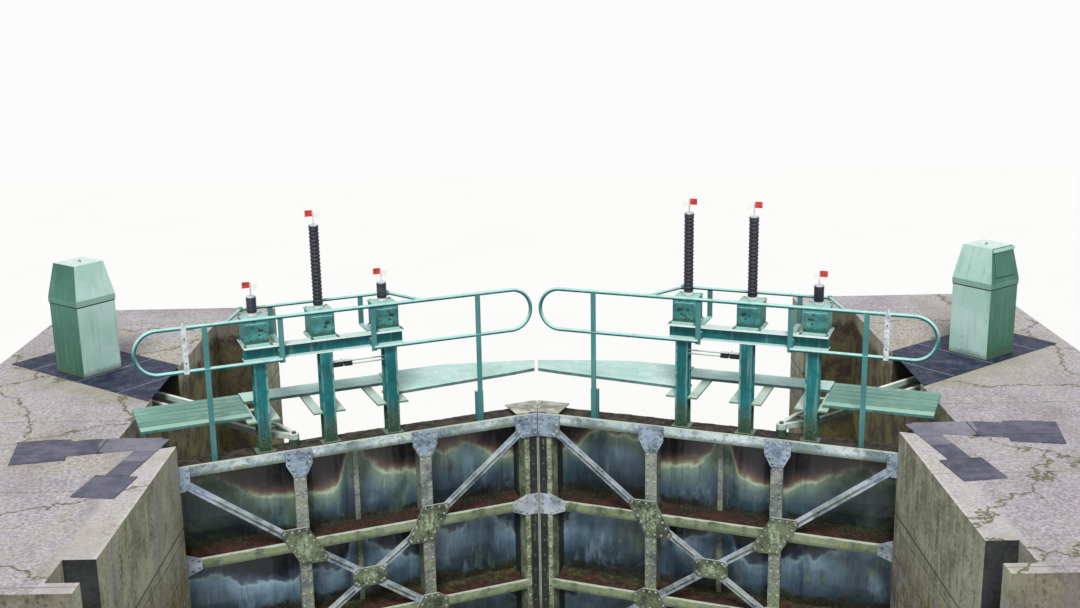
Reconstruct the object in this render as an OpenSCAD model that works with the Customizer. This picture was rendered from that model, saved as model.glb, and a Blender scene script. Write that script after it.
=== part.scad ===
/*
  Canal lock head with a pair of riveted steel mitre leaves.

  X runs across the lock, Y runs upstream and Z runs up. The origin is the
  middle of the base. Each leaf is drawn once in its own frame: u runs from
  the heel hinge towards the mitre, v runs upstream through the thickness of
  the leaf from its downstream face, and z runs up from its bottom edge.
*/

/* [Lock head] */
// Clear width of the lock between its walls
lock_w = 7800; // [7000:100:9000]
// Thickness of each side wall
wall_t = 3100; // [2900:50:3600]
// Height of the coping above the base
coping_z = 6800; // [6700:20:7200]
// Thickness of the floor between the walls
floor_t = 500; // [400:50:650]
// Length of the side wall downstream of the hinge
wall_down = 3450; // [3300:50:4200]
// Length of the side wall upstream of the recess
wall_up = 900; // [600:50:1500]
// Depth of the recess that takes an open leaf
recess_d = 700; // [660:10:780]
// Room in the recess past the tip of an open leaf
recess_end = 300; // [240:20:500]
// Width of the stop log groove
groove_w = 450; // [200:10:500]
// Depth of the stop log groove
groove_d = 300; // [150:10:350]
// Distance of the groove from the downstream end of the wall
groove_in = 200; // [180:10:500]
// Height of the mitre sill above the floor
sill_h = 180; // [140:10:200]
// Length of the mitre sill along the lock
sill_l = 620; // [500:20:900]

/* [Leaf] */
// Angle between a closed leaf and the square across the lock
mitre_angle = 22; // [18:0.5:24]
// Thickness of the leaf from its downstream face to its skin
leaf_t = 400; // [380:10:420]
// Distance of the heel hinge behind the wall face
heel_in = 250; // [240:5:300]
// Distance of the heel hinge upstream of the quoin corner
heel_y = 150; // [120:10:200]
// Gap under the leaf
leaf_gap = 60; // [40:5:80]
// Heights of the rows of panels from the top down; the last row takes what is left
row_h = [1100, 1050, 1000, 950, 900];
// Height of the coping above the middle of the top rail
rail_drop = 325; // [300:5:360]
// Height of the front flange of a rail
rail_h = 130; // [110:5:150]
// Thickness of a rail's plates
rail_t = 14; // [10:1:18]
// Width of the heel post along the leaf, from the hinge
heel_post_u = 170; // [160:5:200]
// Width of the mitre post on the downstream face
mitre_post_u = 170; // [150:5:200]
// Width of an upright strap
upright_w = 140; // [120:5:150]
// Distance from the hinge to the middle of the heel side upright
upright_1 = 1490; // [1460:5:1520]
// Distance from the hinge to the middle of the mitre side upright
upright_2 = 2970; // [2950:5:3000]
// Thickness of straps, brace bars and gussets
strap_t = 12; // [10:1:14]
// Width of a brace bar
brace_w = 95; // [80:5:105]
// Thickness of the skin
skin_t = 10; // [8:1:12]
// Depth of the dish in a skin panel
dish_h = 70; // [40:5:90]
// Flat rim round a dished panel
dish_rim = 60; // [50:5:80]
// Gap between the two mitre faces
mitre_gap = 6; // [5:1:10]
// Gap round the heel post
heel_gap = 7; // [5:1:12]

/* [Hinge] */
// Radius of the top pin
pin_r = 65; // [55:1:75]
// Radius of the bottom pintle
pintle_r = 70; // [60:1:80]
// Height of the pintle above the floor
pintle_h = 150; // [120:5:170]
// Outer radius of the collar
collar_r = 125; // [115:1:140]
// Height of the collar
collar_h = 110; // [90:5:120]
// Gap between a pin and its bearing
pin_gap = 0.3; // [0.2:0.1:1]

/* [Gear] */
// Places of the three gear posts along the leaf
gear_u = [1170, 1920, 2670];
// Distance of the gear posts from the downstream face
gear_v = 270; // [260:5:280]
// Width of a gear post and of the beam
gear_w = 150; // [140:5:150]
// Plate thickness of the posts and beam
gear_t = 10; // [8:1:12]
// Height of the top of the beam above the coping
beam_top = 910; // [860:10:960]
// Depth of the beam
beam_d = 150; // [140:5:180]
// How far the beam runs past the outer posts
beam_over = 165; // [140:5:180]
// Width of a gear box
box_w = 270; // [240:5:280]
// Height of a gear box
box_h = 275; // [250:5:300]
// Distance of the screw from the downstream face
screw_v = 465; // [460:1:470]
// Radius of the screw
screw_r = 20; // [16:1:22]
// Radius of the bellows
bellows_r = 58; // [52:1:64]
// Length of a lowered bellows
bellows_low = 170; // [140:5:200]
// Travel of a paddle
paddle_lift = 740; // [700:10:760]
// Width of a paddle
paddle_w = 540; // [520:5:560]
// Height of a paddle
paddle_h = 660; // [640:5:680]
// Width of the port that a paddle closes
port_w = 440; // [400:5:460]
// Height of the port that a paddle closes
port_h = 560; // [520:5:580]

/* [Walkway and rail] */
// Height of the walkway's underside above the coping
walk_z = 60; // [50:5:80]
// Thickness of the walkway planks
plank_t = 40; // [30:5:50]
// Height of the hand rail above the coping
rail_top = 1250; // [1150:10:1300]
// Height of the mid rail above the coping
rail_mid = 760; // [700:10:800]
// Radius of the rail tube
tube_r = 22; // [18:1:25]
// Distance of the hand rail from the downstream face
rail_v = 140; // [130:5:150]

/* [Machine pit] */
// Length of the operating strut
strut_l = 2750; // [2600:10:2800]
// Distance between the two bars of the strut
strut_w = 260; // [240:10:270]
// Thickness of a strut bar
strut_t = 60; // [50:5:65]
// Place of the strut pin along the leaf
strut_u = 1510; // [1490:5:1530]
// Distance of the strut pin from the downstream face
strut_v = 280; // [270:5:290]
// Direction of the strut with the leaf closed
strut_dir = 143.5; // [142:0.5:145]
// Thickness of the chequer plate
cover_t = 8; // [6:1:10]
// Width of the cabinet
cabinet_w = 560; // [500:10:600]
// Height of the cabinet's body
cabinet_h = 920; // [850:10:950]
// Height of the cabinet's hood
hood_h = 500; // [450:10:550]

/* [Hidden] */
half_w = lock_w / 2;
outer_x = half_w + wall_t;
heel_x = half_w + heel_in;
axis_v = leaf_t / 2;
heel_r = leaf_t / 2 - 2;
quoin_r = heel_r + heel_gap;
recess_x = half_w + recess_d;
rows = len(row_h) + 1;
leaf_z = floor_t + leaf_gap;
deck = coping_z - leaf_z;
// Height of each rail's middle above the leaf's bottom edge, from the top down
function above(i) = i == 0 ? 0 : row_h[i - 1] + above(i - 1);
rail_z = concat([for (i = [0 : rows - 1]) deck - rail_drop - above(i)], [rail_h / 2]);
leaf_h = rail_z[0] + rail_h / 2;
// Where the mitre face lies along the leaf, at a distance v from the front
function mitre_u(v) = (heel_x - mitre_gap / 2 + (v - axis_v) * sin(mitre_angle)) / cos(mitre_angle);
leaf_l = mitre_u(0);
post_u0 = leaf_l - mitre_post_u;
recess_l = round(mitre_u(leaf_t)) + recess_end;
head_l = wall_down + heel_y + recess_l + wall_up;
front_y = -head_l / 2;
back_y = head_l / 2;
hinge_y = front_y + wall_down + heel_y;
recess_y = hinge_y + recess_l;
web_v = leaf_t - skin_t - 5;
rail_top_z = rail_z[0] + rail_t / 2;
spans = [
    [heel_post_u, upright_1 - upright_w / 2],
    [upright_1 + upright_w / 2, (upright_1 + upright_2) / 2 - 40],
    [(upright_1 + upright_2) / 2 + 40, upright_2 - upright_w / 2],
    [upright_2 + upright_w / 2, post_u0]
];
$fn = 48;

concrete = "#a9a29a";
skin_c = "#3e5560";
frame_c = "#6f7f78";
teal = "#0f7f80";
mint = "#7fc4b0";
black = "#1d2026";
steel = "#8f9696";
plate_c = "#3a3f47";

// Left things as drawn, right things mirrored across the lock
module on_side(right) {
    if (right) {
        mirror([1, 0, 0]) children();
    } else {
        children();
    }
}

// A leaf's own frame, for a closed leaf
module on_leaf(right) {
    on_side(right)
        translate([-heel_x, hinge_y, leaf_z])
            rotate([0, 0, mitre_angle])
                translate([0, -axis_v, 0])
                    children();
}

// An outline in u and z, made into a plate from v = v0 to v0 + th
module facing(v0, th) {
    translate([0, v0 + th, 0]) rotate([90, 0, 0]) linear_extrude(th) children();
}

// A flat bar in u and z from p to q
module flat_bar(p, q, w) {
    d = q - p;
    translate(p) rotate(atan2(d[1], d[0])) translate([0, -w / 2]) square([norm(d), w]);
}

// A round tube from a to b
module rod(a, b, r) {
    d = b - a;
    translate(a)
        rotate([0, acos(d[2] / norm(d)), atan2(d[1], d[0])])
            cylinder(h = norm(d), r = r);
}

// The lock floor with the mitre sill that the leaves close on
module lock_floor() {
    color(concrete) {
        difference() {
            translate([-outer_x, front_y, 0]) cube([2 * outer_x, back_y - front_y, floor_t]);
            for (right = [false, true]) {
                on_side(right)
                    translate([-heel_x, hinge_y, floor_t - 40]) cylinder(h = 60, r = pintle_r + 60);
            }
        }
        translate([0, 0, floor_t]) linear_extrude(sill_h) sill_plan();
    }
}

// The sill is a V that points upstream and stays clear of the leaf fronts
module sill_plan() {
    face_v = front_room;
    function world(u, v) = [
        -heel_x + u * cos(mitre_angle) - (v - axis_v) * sin(mitre_angle),
        hinge_y + u * sin(mitre_angle) + (v - axis_v) * cos(mitre_angle)
    ];
    a = world(300, -face_v);
    slope = tan(mitre_angle);
    wall_at = a[1] + (-half_w - a[0]) * slope;
    tip_at = a[1] - a[0] * slope;
    polygon([
        [-half_w, wall_at], [0, tip_at], [half_w, wall_at],
        [half_w, wall_at - sill_l], [0, tip_at - sill_l], [-half_w, wall_at - sill_l]
    ]);
}

// Hollow quoin: room for the round heel post and for the front of the closed leaf
front_room = 3 * strap_t + 10;
quoin_reach = wall_t * 0.65;
module quoin_cut() {
    translate([-heel_x, hinge_y, floor_t - 1]) {
        cylinder(h = coping_z, r = quoin_r, $fn = 96);
        rotate([0, 0, mitre_angle]) translate([0, -axis_v - front_room, 0])
            cube([quoin_reach, quoin_reach, coping_z]);
    }
}

// The wall downstream of the hinge, with its stop log groove
module downstream_pier(right) {
    color(concrete) on_side(right) {
        difference() {
            translate([-outer_x, front_y, floor_t])
                cube([wall_t, hinge_y - front_y, coping_z - floor_t]);
            quoin_cut();
            translate([-half_w - groove_d, front_y + groove_in, floor_t - 1])
                cube([groove_d + 1, groove_w, coping_z]);
            anchor_slots();
        }
    }
}

// The wall behind an open leaf, with the machine pit in its top
module recess_wall(right) {
    color(concrete) on_side(right) {
        difference() {
            translate([-outer_x, hinge_y, floor_t])
                cube([outer_x - recess_x, recess_y - hinge_y, coping_z - floor_t]);
            on_pit() translate([pit_start, -pit_in, coping_z - pit_d])
                cube([pit_end - pit_start, pit_in + pit_out, pit_d + 1]);
        }
    }
}

// The wall upstream of the recess
module upstream_pier(right) {
    color(concrete) on_side(right) {
        translate([-outer_x, recess_y, floor_t]) cube([wall_t, wall_up, coping_z - floor_t]);
    }
}

// The pit runs along the strut of a closed leaf, measured from the strut pin
pit_start = 1500;
pit_in = 420;
pit_out = 580;
pit_end = 4600;
pit_d = 420;
pin_rel = [strut_u, strut_v - axis_v];
pin_world = [
    -heel_x + pin_rel[0] * cos(mitre_angle) - pin_rel[1] * sin(mitre_angle),
    hinge_y + pin_rel[0] * sin(mitre_angle) + pin_rel[1] * cos(mitre_angle)
];
module on_pit() {
    translate([pin_world[0], pin_world[1], 0]) rotate([0, 0, strut_dir]) mirror([0, 1, 0]) children();
}

// Pintle pins that carry the leaves on the floor
module pintles() {
    color(steel) for (right = [false, true]) {
        on_side(right) translate([-heel_x, hinge_y, floor_t - 40]) {
            cylinder(h = 40, r = pintle_r + 60);
            cylinder(h = 40 + pintle_h, r = pintle_r);
        }
    }
}

// Slots in the coping for the anchor bars of the top hinge
anchor_dir = [192, 262];
anchor_l = [1450, 1500];
bar_w = 90;
collar_z = coping_z - 200;
module anchor_slots() {
    for (i = [0, 1]) {
        translate([-heel_x, hinge_y, 0]) rotate([0, 0, anchor_dir[i]])
            translate([0, -bar_w / 2 - 5, collar_z - 5])
                cube([anchor_l[i], bar_w + 10, coping_z - collar_z + 10]);
    }
}

// Collars that hold the top pins, each with two anchor bars
module collars() {
    color(steel) for (right = [false, true]) {
        on_side(right) translate([-heel_x, hinge_y, collar_z]) {
            difference() {
                union() {
                    cylinder(h = collar_h, r = collar_r);
                    for (i = [0, 1]) {
                        rotate([0, 0, anchor_dir[i]]) translate([0, -bar_w / 2, 10])
                            cube([anchor_l[i] - 10, bar_w, collar_h - 20]);
                    }
                }
                translate([0, 0, -1]) cylinder(h = collar_h + 2, r = pin_r + pin_gap);
            }
        }
    }
}

// Cover plates over the anchor bars, in the shape of a V, with a wider plate at each end
arm_l = [anchor_l[0] - 350, anchor_l[1] - 400];
arm_half = [225, 120];
pad_at = [anchor_l[0] - 530, anchor_l[1] - 480];
pad_half = [340, 225];
pad_l = 560;
plate_back = 90;
module anchor_plates() {
    color(plate_c) for (right = [false, true]) {
        on_side(right) translate([-heel_x, hinge_y, coping_z]) linear_extrude(12)
            difference() {
                union() {
                    for (i = [0, 1]) {
                        rotate(anchor_dir[i]) {
                            translate([-60, -arm_half[i]]) square([arm_l[i], 2 * arm_half[i]]);
                            translate([pad_at[i], -pad_half[i]])
                                square([pad_l, 2 * pad_half[i]]);
                        }
                    }
                }
                translate([heel_in - 10, -wall_t]) square([wall_t, 2 * wall_t]);
                translate([-wall_t / 2, plate_back]) square([wall_t, wall_t]);
            }
    }
}

// Chequer plates over the machine pits
cover_in = 80;
module pit_covers() {
    color(plate_c) for (right = [false, true]) {
        on_side(right) intersection() {
            on_pit() translate([pit_start - cover_in, -pit_in - cover_in, coping_z])
                cube([pit_end - pit_start + 2 * cover_in, pit_in + pit_out + 2 * cover_in, cover_t]);
            translate([-outer_x, hinge_y, coping_z])
                cube([outer_x - recess_x - 10, recess_y - hinge_y, cover_t]);
        }
    }
}

// Control cabinets on the pit covers, each with a hood whose four sides lean in
cabinet_s = 3590;
cabinet_out = 100;
module cabinets() {
    color(mint) for (right = [false, true]) {
        on_side(right) on_pit() translate([cabinet_s, -cabinet_out, coping_z + cover_t]) {
            translate([-cabinet_w / 2, -cabinet_w / 2, 0]) cube([cabinet_w, cabinet_w, cabinet_h]);
            intersection() {
                hood_prism();
                rotate([0, 0, 90]) hood_prism();
            }
        }
    }
}

// Hood seen from one side: a straight rim over the body, then sides that lean in
hood_rim = 70;
hood_over = 8;
hood_lean = 75;
module hood_prism() {
    rim = cabinet_w / 2 + hood_over;
    top = rim - hood_lean;
    translate([0, rim, cabinet_h]) rotate([90, 0, 0]) linear_extrude(2 * rim)
        polygon([[-rim, 0], [rim, 0], [rim, hood_rim], [top, hood_h], [-top, hood_h], [-rim, hood_rim]]);
}

// Heel post with its round back, its pin at the top and its socket below
module heel_post() {
    color(frame_c) difference() {
        union() {
            translate([0, axis_v, 0]) cylinder(h = leaf_h, r = heel_r, $fn = 96);
            cube([heel_post_u, leaf_t - 2, leaf_h]);
            translate([0, axis_v, 0]) cylinder(h = collar_z - leaf_z + collar_h + 20, r = pin_r);
        }
        translate([0, axis_v, -1]) cylinder(h = pintle_h + 20 - leaf_gap, r = pintle_r + pin_gap);
        translate([heel_post_u, 0, -1]) cube([heel_r, leaf_t, leaf_h + 2]);
    }
}

// Mitre post, built up to the mitre face, with a cap plate
module mitre_post() {
    color(frame_c) {
        linear_extrude(leaf_h) mitre_plan(post_u0, 0);
        translate([0, 0, leaf_h]) linear_extrude(cap_plate_t) mitre_plan(post_u0 - 90, 4);
    }
}

// Plan of the mitre post from u0 on, kept a little off the mitre face
cap_plate_t = 12;
module mitre_plan(u0, off) {
    polygon([
        [u0, off], [mitre_u(off) - off, off], [mitre_u(leaf_t) - off, leaf_t], [u0, leaf_t]
    ]);
}

// Rails, each a level web with an upright flange on its front edge
module rails() {
    color(frame_c) for (z = rail_z) {
        translate([heel_post_u, 0, z - rail_h / 2]) cube([post_u0 - heel_post_u, rail_t, rail_h]);
        translate([heel_post_u, rail_t, z - rail_t / 2])
            cube([post_u0 - heel_post_u, web_v - rail_t, rail_t]);
    }
    // the timber under the bottom rail that closes on the sill
    color(black) translate([heel_post_u, -36, 0]) cube([post_u0 - heel_post_u, 36, 90]);
}

// Uprights, each a strap over the rail flanges and a stem back to the skin, and the
// flat stiffener between the two dished panels of the middle bay
stiffener_w = 60;
module uprights() {
    color(frame_c) {
        for (u = [upright_1, upright_2]) {
            translate([u - upright_w / 2, -strap_t, 110]) cube([upright_w, strap_t, leaf_h - 110]);
            for (i = [0 : rows - 1]) {
                translate([u - gear_t / 2, rail_t, rail_z[i + 1] + rail_t / 2])
                    cube([gear_t, web_v - rail_t, rail_z[i] - rail_z[i + 1] - rail_t]);
                translate([u - gear_t / 2, 0, rail_z[i + 1] + rail_h / 2])
                    cube([gear_t, rail_t, rail_z[i] - rail_z[i + 1] - rail_h]);
            }
        }
        for (i = [0 : rows - 2]) {
            translate([mid_u - stiffener_w / 2, web_v - 16, rail_z[i + 1] + rail_t / 2])
                cube([stiffener_w, 16, rail_z[i] - rail_z[i + 1] - rail_t]);
        }
        for (i = [3, 4]) {
            translate([mid_u - upright_w / 2, -strap_t, rail_z[i + 1] - rail_h / 2])
                cube([upright_w, strap_t, rail_z[i] - rail_z[i + 1] + rail_h]);
        }
    }
}

// Where the brace bars meet the posts, the uprights and each other
mid_u = (upright_1 + upright_2) / 2;
mid_z = (rail_z[1] + rail_z[2]) / 2;
end_in = 90;
heel_end = end_in;
mitre_end = leaf_l - end_in;
centre = [mid_u, mid_z];

// Each brace bar: its two ends, how far in from each end its rib starts, and half the
// gap that the rib leaves for the plate at the middle of the bar
function braces_top(post, near, far) = [
    [[post, rail_z[0] - 30], [near, rail_z[1]], 260, 330, 0],
    [[near, rail_z[1]], [far, rail_z[2]], 330, 250, 240]
];
function braces_low(post, near) = [
    [[near, rail_z[2]], [post, rail_z[3]], 250, 330, 0],
    [[post, rail_z[3]], [near, rail_z[4]], 330, 300, 0],
    [[near, rail_z[4]], [post, rail_z[5]], 300, 300, 0]
];
braces = concat(
    braces_top(heel_end, upright_1, upright_2),
    braces_top(mitre_end, upright_2, upright_1),
    braces_low(heel_end, upright_1),
    braces_low(mitre_end, upright_2)
);

// Gusset outlines, in u and z about the joint, for the heel half of a leaf
joint_plate = [[-270, 170], [-240, 225], [50, 225], [270, -170], [240, -225], [-50, -225]];
cross_half = [[-150, 115], [-200, 75], [-200, -75], [-150, -115]];
cross_plate = concat(cross_half, -1 * cross_half);
apex_plate = [[-230, 0], [-230, 90], [-90, 190], [90, 190], [90, -190], [-90, -190], [-230, -90]];
foot_plate = [[-200, -140], [-200, -40], [-90, 140], [90, 140], [210, 60], [210, -60], [90, -140]];
tee_plate = [[-150, 62], [150, 62], [150, -110], [72, -260], [-72, -260], [-150, -110]];
corner_plate = [[15, 62], [285, 62], [285, -150], [225, -215], [15, -215]];
end_plate = [[15, 130], [170, 130], [340, 62], [340, -62], [170, -130], [15, -130]];
knee_plate = [[15, 210], [200, 210], [390, 62], [390, -62], [200, -210], [15, -210]];

// A gusset with its front at v0 and th thick, at place p, turned over for the mitre half
module gusset(points, p, v0, th, over) {
    facing(v0, th) translate(p) mirror([over ? 1 : 0, 0]) polygon(points);
}

// The rib along a brace bar
rib_w = 16;
rib_h = 20;
module brace_rib(b) {
    d = (b[1] - b[0]) / norm(b[1] - b[0]);
    p = b[0] + d * b[2];
    q = b[1] - d * b[3];
    m = (b[0] + b[1]) / 2;
    if (b[4] > 0) {
        flat_bar(p, m - d * b[4], rib_w);
        flat_bar(m + d * b[4], q, rib_w);
    } else {
        flat_bar(p, q, rib_w);
    }
}

// Brace bars with their ribs, and the gussets that join them
thin = 3 * strap_t;
module bracing() {
    color(frame_c) {
        for (b = braces) {
            facing(-2 * strap_t, strap_t) flat_bar(b[0], b[1], brace_w);
            facing(-2 * strap_t - rib_h, rib_h + 6) brace_rib(b);
        }
        gusset(cross_plate, centre, -thin, 2 * strap_t, false);
        for (over = [false, true]) {
            near = over ? upright_2 : upright_1;
            post = over ? leaf_l : 0;
            gusset(joint_plate, [near, rail_z[1]], -thin, 2 * strap_t, over);
            gusset(foot_plate, [near, rail_z[2]], -thin, 2 * strap_t, !over);
            gusset(apex_plate, [near, rail_z[4]], -thin, 2 * strap_t, over);
            gusset(tee_plate, [near, rail_z[0]], -2 * strap_t, strap_t, over);
            gusset(corner_plate, [post, rail_z[0]], -thin, thin, over);
            gusset(end_plate, [post, rail_z[1]], -strap_t, strap_t, over);
            gusset(knee_plate, [post, rail_z[3]], -thin, thin, over);
            gusset(end_plate, [post, rail_z[5]], -thin, thin, over);
        }
    }
}

// Skin plate with a dished panel in each bay and a port for each paddle
module skin() {
    top = rail_z[0] + 10;
    color(skin_c) {
        difference() {
            translate([heel_post_u, web_v, 0]) cube([post_u0 - heel_post_u, skin_t, top]);
            for (u = gear_u) {
                translate([u - port_w / 2, web_v - 1, port_z]) cube([port_w, skin_t + 2, port_h]);
            }
        }
        for (s = spans) {
            for (i = [0 : rows - 2]) {
                dish([s[0], s[1]], [rail_z[i + 1] + rail_t / 2, rail_z[i] - rail_t / 2]);
            }
        }
    }
}

// How far the dish stands out at a share a across and b up the panel, from -1 to 1
function dish_at(a, b) = dish_h * (1 - a * a) * (1 - b * b);

// A pillow over the bay between u[0] and u[1], z[0] and z[1], made on a grid
dish_n = 6;
module dish(u, z) {
    w = u[1] - u[0] - 2 * dish_rim;
    h = z[1] - z[0] - 2 * dish_rim;
    row = dish_n + 1;
    front = [for (j = [0 : dish_n], i = [0 : dish_n])
        [i * w / dish_n, -dish_at(2 * i / dish_n - 1, 2 * j / dish_n - 1), j * h / dish_n]];
    edge = concat(
        [for (i = [0 : dish_n - 1]) i],
        [for (j = [0 : dish_n - 1]) j * row + dish_n],
        [for (i = [dish_n : -1 : 1]) dish_n * row + i],
        [for (j = [dish_n : -1 : 1]) j * row]
    );
    back = [for (k = edge) [front[k][0], skin_t / 2, front[k][2]]];
    middle = [[w / 2, skin_t / 2, h / 2]];
    n = len(front);
    m = len(edge);
    cells = [for (j = [0 : dish_n - 1], i = [0 : dish_n - 1]) each let (k = j * row + i)
        [[k, k + row, k + 1], [k + 1, k + row, k + row + 1]]];
    sides = [for (k = [0 : m - 1]) each let (next = (k + 1) % m)
        [[edge[k], edge[next], n + next], [edge[k], n + next, n + k]]];
    floor = [for (k = [0 : m - 1]) [n + m, n + k, n + (k + 1) % m]];
    translate([u[0] + dish_rim, web_v, z[0] + dish_rim])
        polyhedron(concat(front, back, middle), concat(cells, sides, floor));
}

// Angle bars that guide the paddles on the upstream face
port_z = rail_z[rows] + 110;
module paddle_guides() {
    back = web_v + skin_t;
    run = paddle_h + paddle_lift + 40;
    color(frame_c) for (u = gear_u) {
        for (side = [-1, 1]) {
            translate([u + side * (paddle_w / 2 + 6 + 15) - 15, back, port_z - 50]) cube([30, 60, run]);
        }
    }
}

// Walkway of long planks on the upstream side, in three stretches
walk_far = 1150;
walk_start = -150;
heel_near = 310;
mid_near = 860;
tip_near = 450;
walk_joint = 10;
walk_1 = gear_u[0] - 105;
walk_2 = gear_u[2] + 125;
tip_v = [560, 600, 920];
heel_walk = [[walk_start, heel_near], [walk_1 - walk_joint / 2, heel_near],
    [walk_1 - walk_joint / 2, walk_far], [walk_start, walk_far]];
mid_walk = [[walk_1 + walk_joint / 2, mid_near], [walk_2 - walk_joint / 2, mid_near],
    [walk_2 - walk_joint / 2, walk_far + 50], [walk_1 + walk_joint / 2, walk_far + 50]];
tip_walk = [
    [walk_2 + walk_joint / 2, tip_near], [leaf_l - 90, tip_v[0]],
    [mitre_u(tip_v[1]) - 20, tip_v[1]], [mitre_u(tip_v[2]) - 20, tip_v[2]],
    [walk_2 + 805, walk_far + 100], [walk_2 + walk_joint / 2, walk_far + 100]
];
module walkway() {
    color(mint) translate([0, 0, deck + walk_z]) linear_extrude(plank_t) {
        polygon(heel_walk);
        polygon(mid_walk);
        polygon(tip_walk);
    }
}

// Arms that carry the walkway and tie it to the gear posts
arm_t = 20;
arm_w = 110;
joist_v = [620, 1000];
joist_w = 60;
module brackets() {
    color(mint) translate([0, 0, deck + walk_z - arm_t]) {
        for (u = gear_u) {
            for (side = [-1, 1]) {
                translate([u + side * (gear_w / 2 + arm_w / 2) - arm_w / 2, gear_v - gear_w / 2, 0])
                    cube([arm_w, walk_far - 50 - gear_v + gear_w / 2, arm_t]);
            }
        }
        translate([walk_start + 50, joist_v[0], 0]) cube([gear_u[0] - walk_start - 50, joist_w, arm_t]);
        translate([gear_u[2], joist_v[0], 0]) cube([leaf_l - 20 - gear_u[2], joist_w, arm_t]);
        translate([walk_start + 50, joist_v[1], 0]) cube([leaf_l - 90 - walk_start, joist_w, arm_t]);
    }
}

// Hand rail: a loop of tube on two posts, tied to the gear beam, with a by-pass behind
// the bellows and a flat bar with a knob near the heel
loop_u = [-160, mitre_u(rail_v) - 60];
heel_stand = 590;
mitre_stand = 3720;
tie_u = [gear_u[0] + 245, gear_u[2] - 205];
tie_w = 60;
tie_t = 8;
bypass_v = 670;
bypass_u = [820, 1080, 2790, 3060];
bypass_r = 18;
elbow_r = 26;
elbow_in = 12;
clip_u = 370;
module handrail() {
    zt = deck + rail_top;
    zm = deck + rail_mid;
    r = (zt - zm) / 2;
    beam_z = deck + beam_top;
    color(teal) {
        rod([loop_u[0] + r, rail_v, zt], [loop_u[1] - r, rail_v, zt], tube_r);
        rod([loop_u[0] + r, rail_v, zm], [tie_u[0], rail_v, zm], tube_r);
        rod([tie_u[1], rail_v, zm], [loop_u[1] - r, rail_v, zm], tube_r);
        for (end = [0, 1]) {
            translate([end == 0 ? loop_u[0] + r : loop_u[1] - r, rail_v, (zt + zm) / 2])
                rotate([90, 0, 0]) rotate([0, 0, end == 0 ? 90 : -90])
                    rotate_extrude(angle = 180) translate([r, 0]) circle(r = tube_r);
        }
        for (i = [0 : 2]) {
            a = [bypass_u[i], i == 0 ? rail_v : bypass_v, zt];
            b = [bypass_u[i + 1], i == 2 ? rail_v : bypass_v, zt];
            d = (b - a) / norm(b - a) * elbow_in;
            rod(i == 0 ? a : a + d, i == 2 ? b : b - d, bypass_r);
        }
        for (u = [bypass_u[1], bypass_u[2]]) {
            translate([u, bypass_v, zt - elbow_r]) cylinder(h = 2 * elbow_r, r = elbow_r);
        }
        translate([heel_stand, rail_v, rail_top_z]) linear_extrude(zt - rail_top_z) tee_section();
        translate([mitre_stand, rail_v, rail_top_z]) linear_extrude(zt - rail_top_z) tee_section();
        translate([mitre_stand - 45, rail_v + 5, rail_top_z]) cube([90, 50, deck + walk_z - rail_top_z]);
        for (u = tie_u) {
            translate([u - tie_w / 2, rail_v - tie_t / 2, zm - tube_r - 14])
                cube([tie_w, tie_t, zt - zm + tube_r]);
            translate([u - tie_w / 2, rail_v, beam_z - beam_d + 40])
                cube([tie_w, gear_v - gear_t / 2 - rail_v, 60]);
            translate([u - tie_w / 2, gear_v + gear_w / 2 - 20, beam_z])
                cube([tie_w, bypass_v - gear_v - gear_w / 2 + 20, 10]);
            translate([u - tie_w / 2, bypass_v - tie_t / 2, beam_z]) cube([tie_w, tie_t, zt - beam_z - 8]);
        }
    }
    color(steel) {
        translate([clip_u - 28, rail_v - tube_r - 6, zm - tube_r]) cube([56, 8, zt - zm + 2 * tube_r]);
        translate([clip_u, rail_v - 3, zt + 5]) cylinder(h = 50, r = 14);
    }
}

// Section of a hand rail post, the flat of the tee towards the front
module tee_section() {
    translate([-30, -20]) square([60, 10]);
    translate([-5, -20]) square([10, 45]);
}

// Gear posts and the beam across their heads
module gear_frame() {
    top = deck + beam_top;
    color(teal) {
        for (u = gear_u) {
            translate([u, gear_v, rail_top_z]) linear_extrude(top - beam_d - rail_top_z) h_section();
            translate([u - 110, gear_v - 110, rail_top_z]) cube([220, 215, 15]);
        }
        translate([gear_u[0] - beam_over, gear_v, top - beam_d / 2]) rotate([0, 90, 0])
            rotate([0, 0, 90]) linear_extrude(gear_u[2] - gear_u[0] + 2 * beam_over) i_section();
        oil_lines();
    }
    strut_pin();
}

// Two oil pipes from the second post to the third, with their valve blocks and a bleed plug
pipe_z = 590;
pipe_gap = 40;
valve_u = [85, 215];
valve_l = [115, 90];
valve_h = 64;
module oil_lines() {
    translate([gear_u[1], gear_v, deck + pipe_z]) {
        for (side = [-1, 1]) {
            translate([0, 0, side * pipe_gap / 2]) rotate([0, 90, 0])
                cylinder(h = gear_u[2] - gear_u[1], r = 8);
        }
        for (i = [0, 1]) translate([valve_u[i], -30, -valve_h / 2]) cube([valve_l[i], 60, valve_h]);
        translate([valve_u[0] + valve_l[0] - 20, 0, 0]) cylinder(h = valve_h / 2 + 25, r = 9);
    }
}

// Section of a gear post, flanges across the leaf
module h_section() {
    for (side = [-1, 1]) {
        translate([-gear_w / 2, side * (gear_w / 2 - gear_t / 2) - gear_t / 2]) square([gear_w, gear_t]);
    }
    translate([-gear_t / 2, -gear_w / 2]) square([gear_t, gear_w]);
}

// Section of the beam, web upright
module i_section() {
    for (side = [-1, 1]) {
        translate([-gear_w / 2, side * (beam_d / 2 - gear_t / 2) - gear_t / 2]) square([gear_w, gear_t]);
    }
    translate([-gear_t / 2, -beam_d / 2]) square([gear_t, beam_d]);
}

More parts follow.
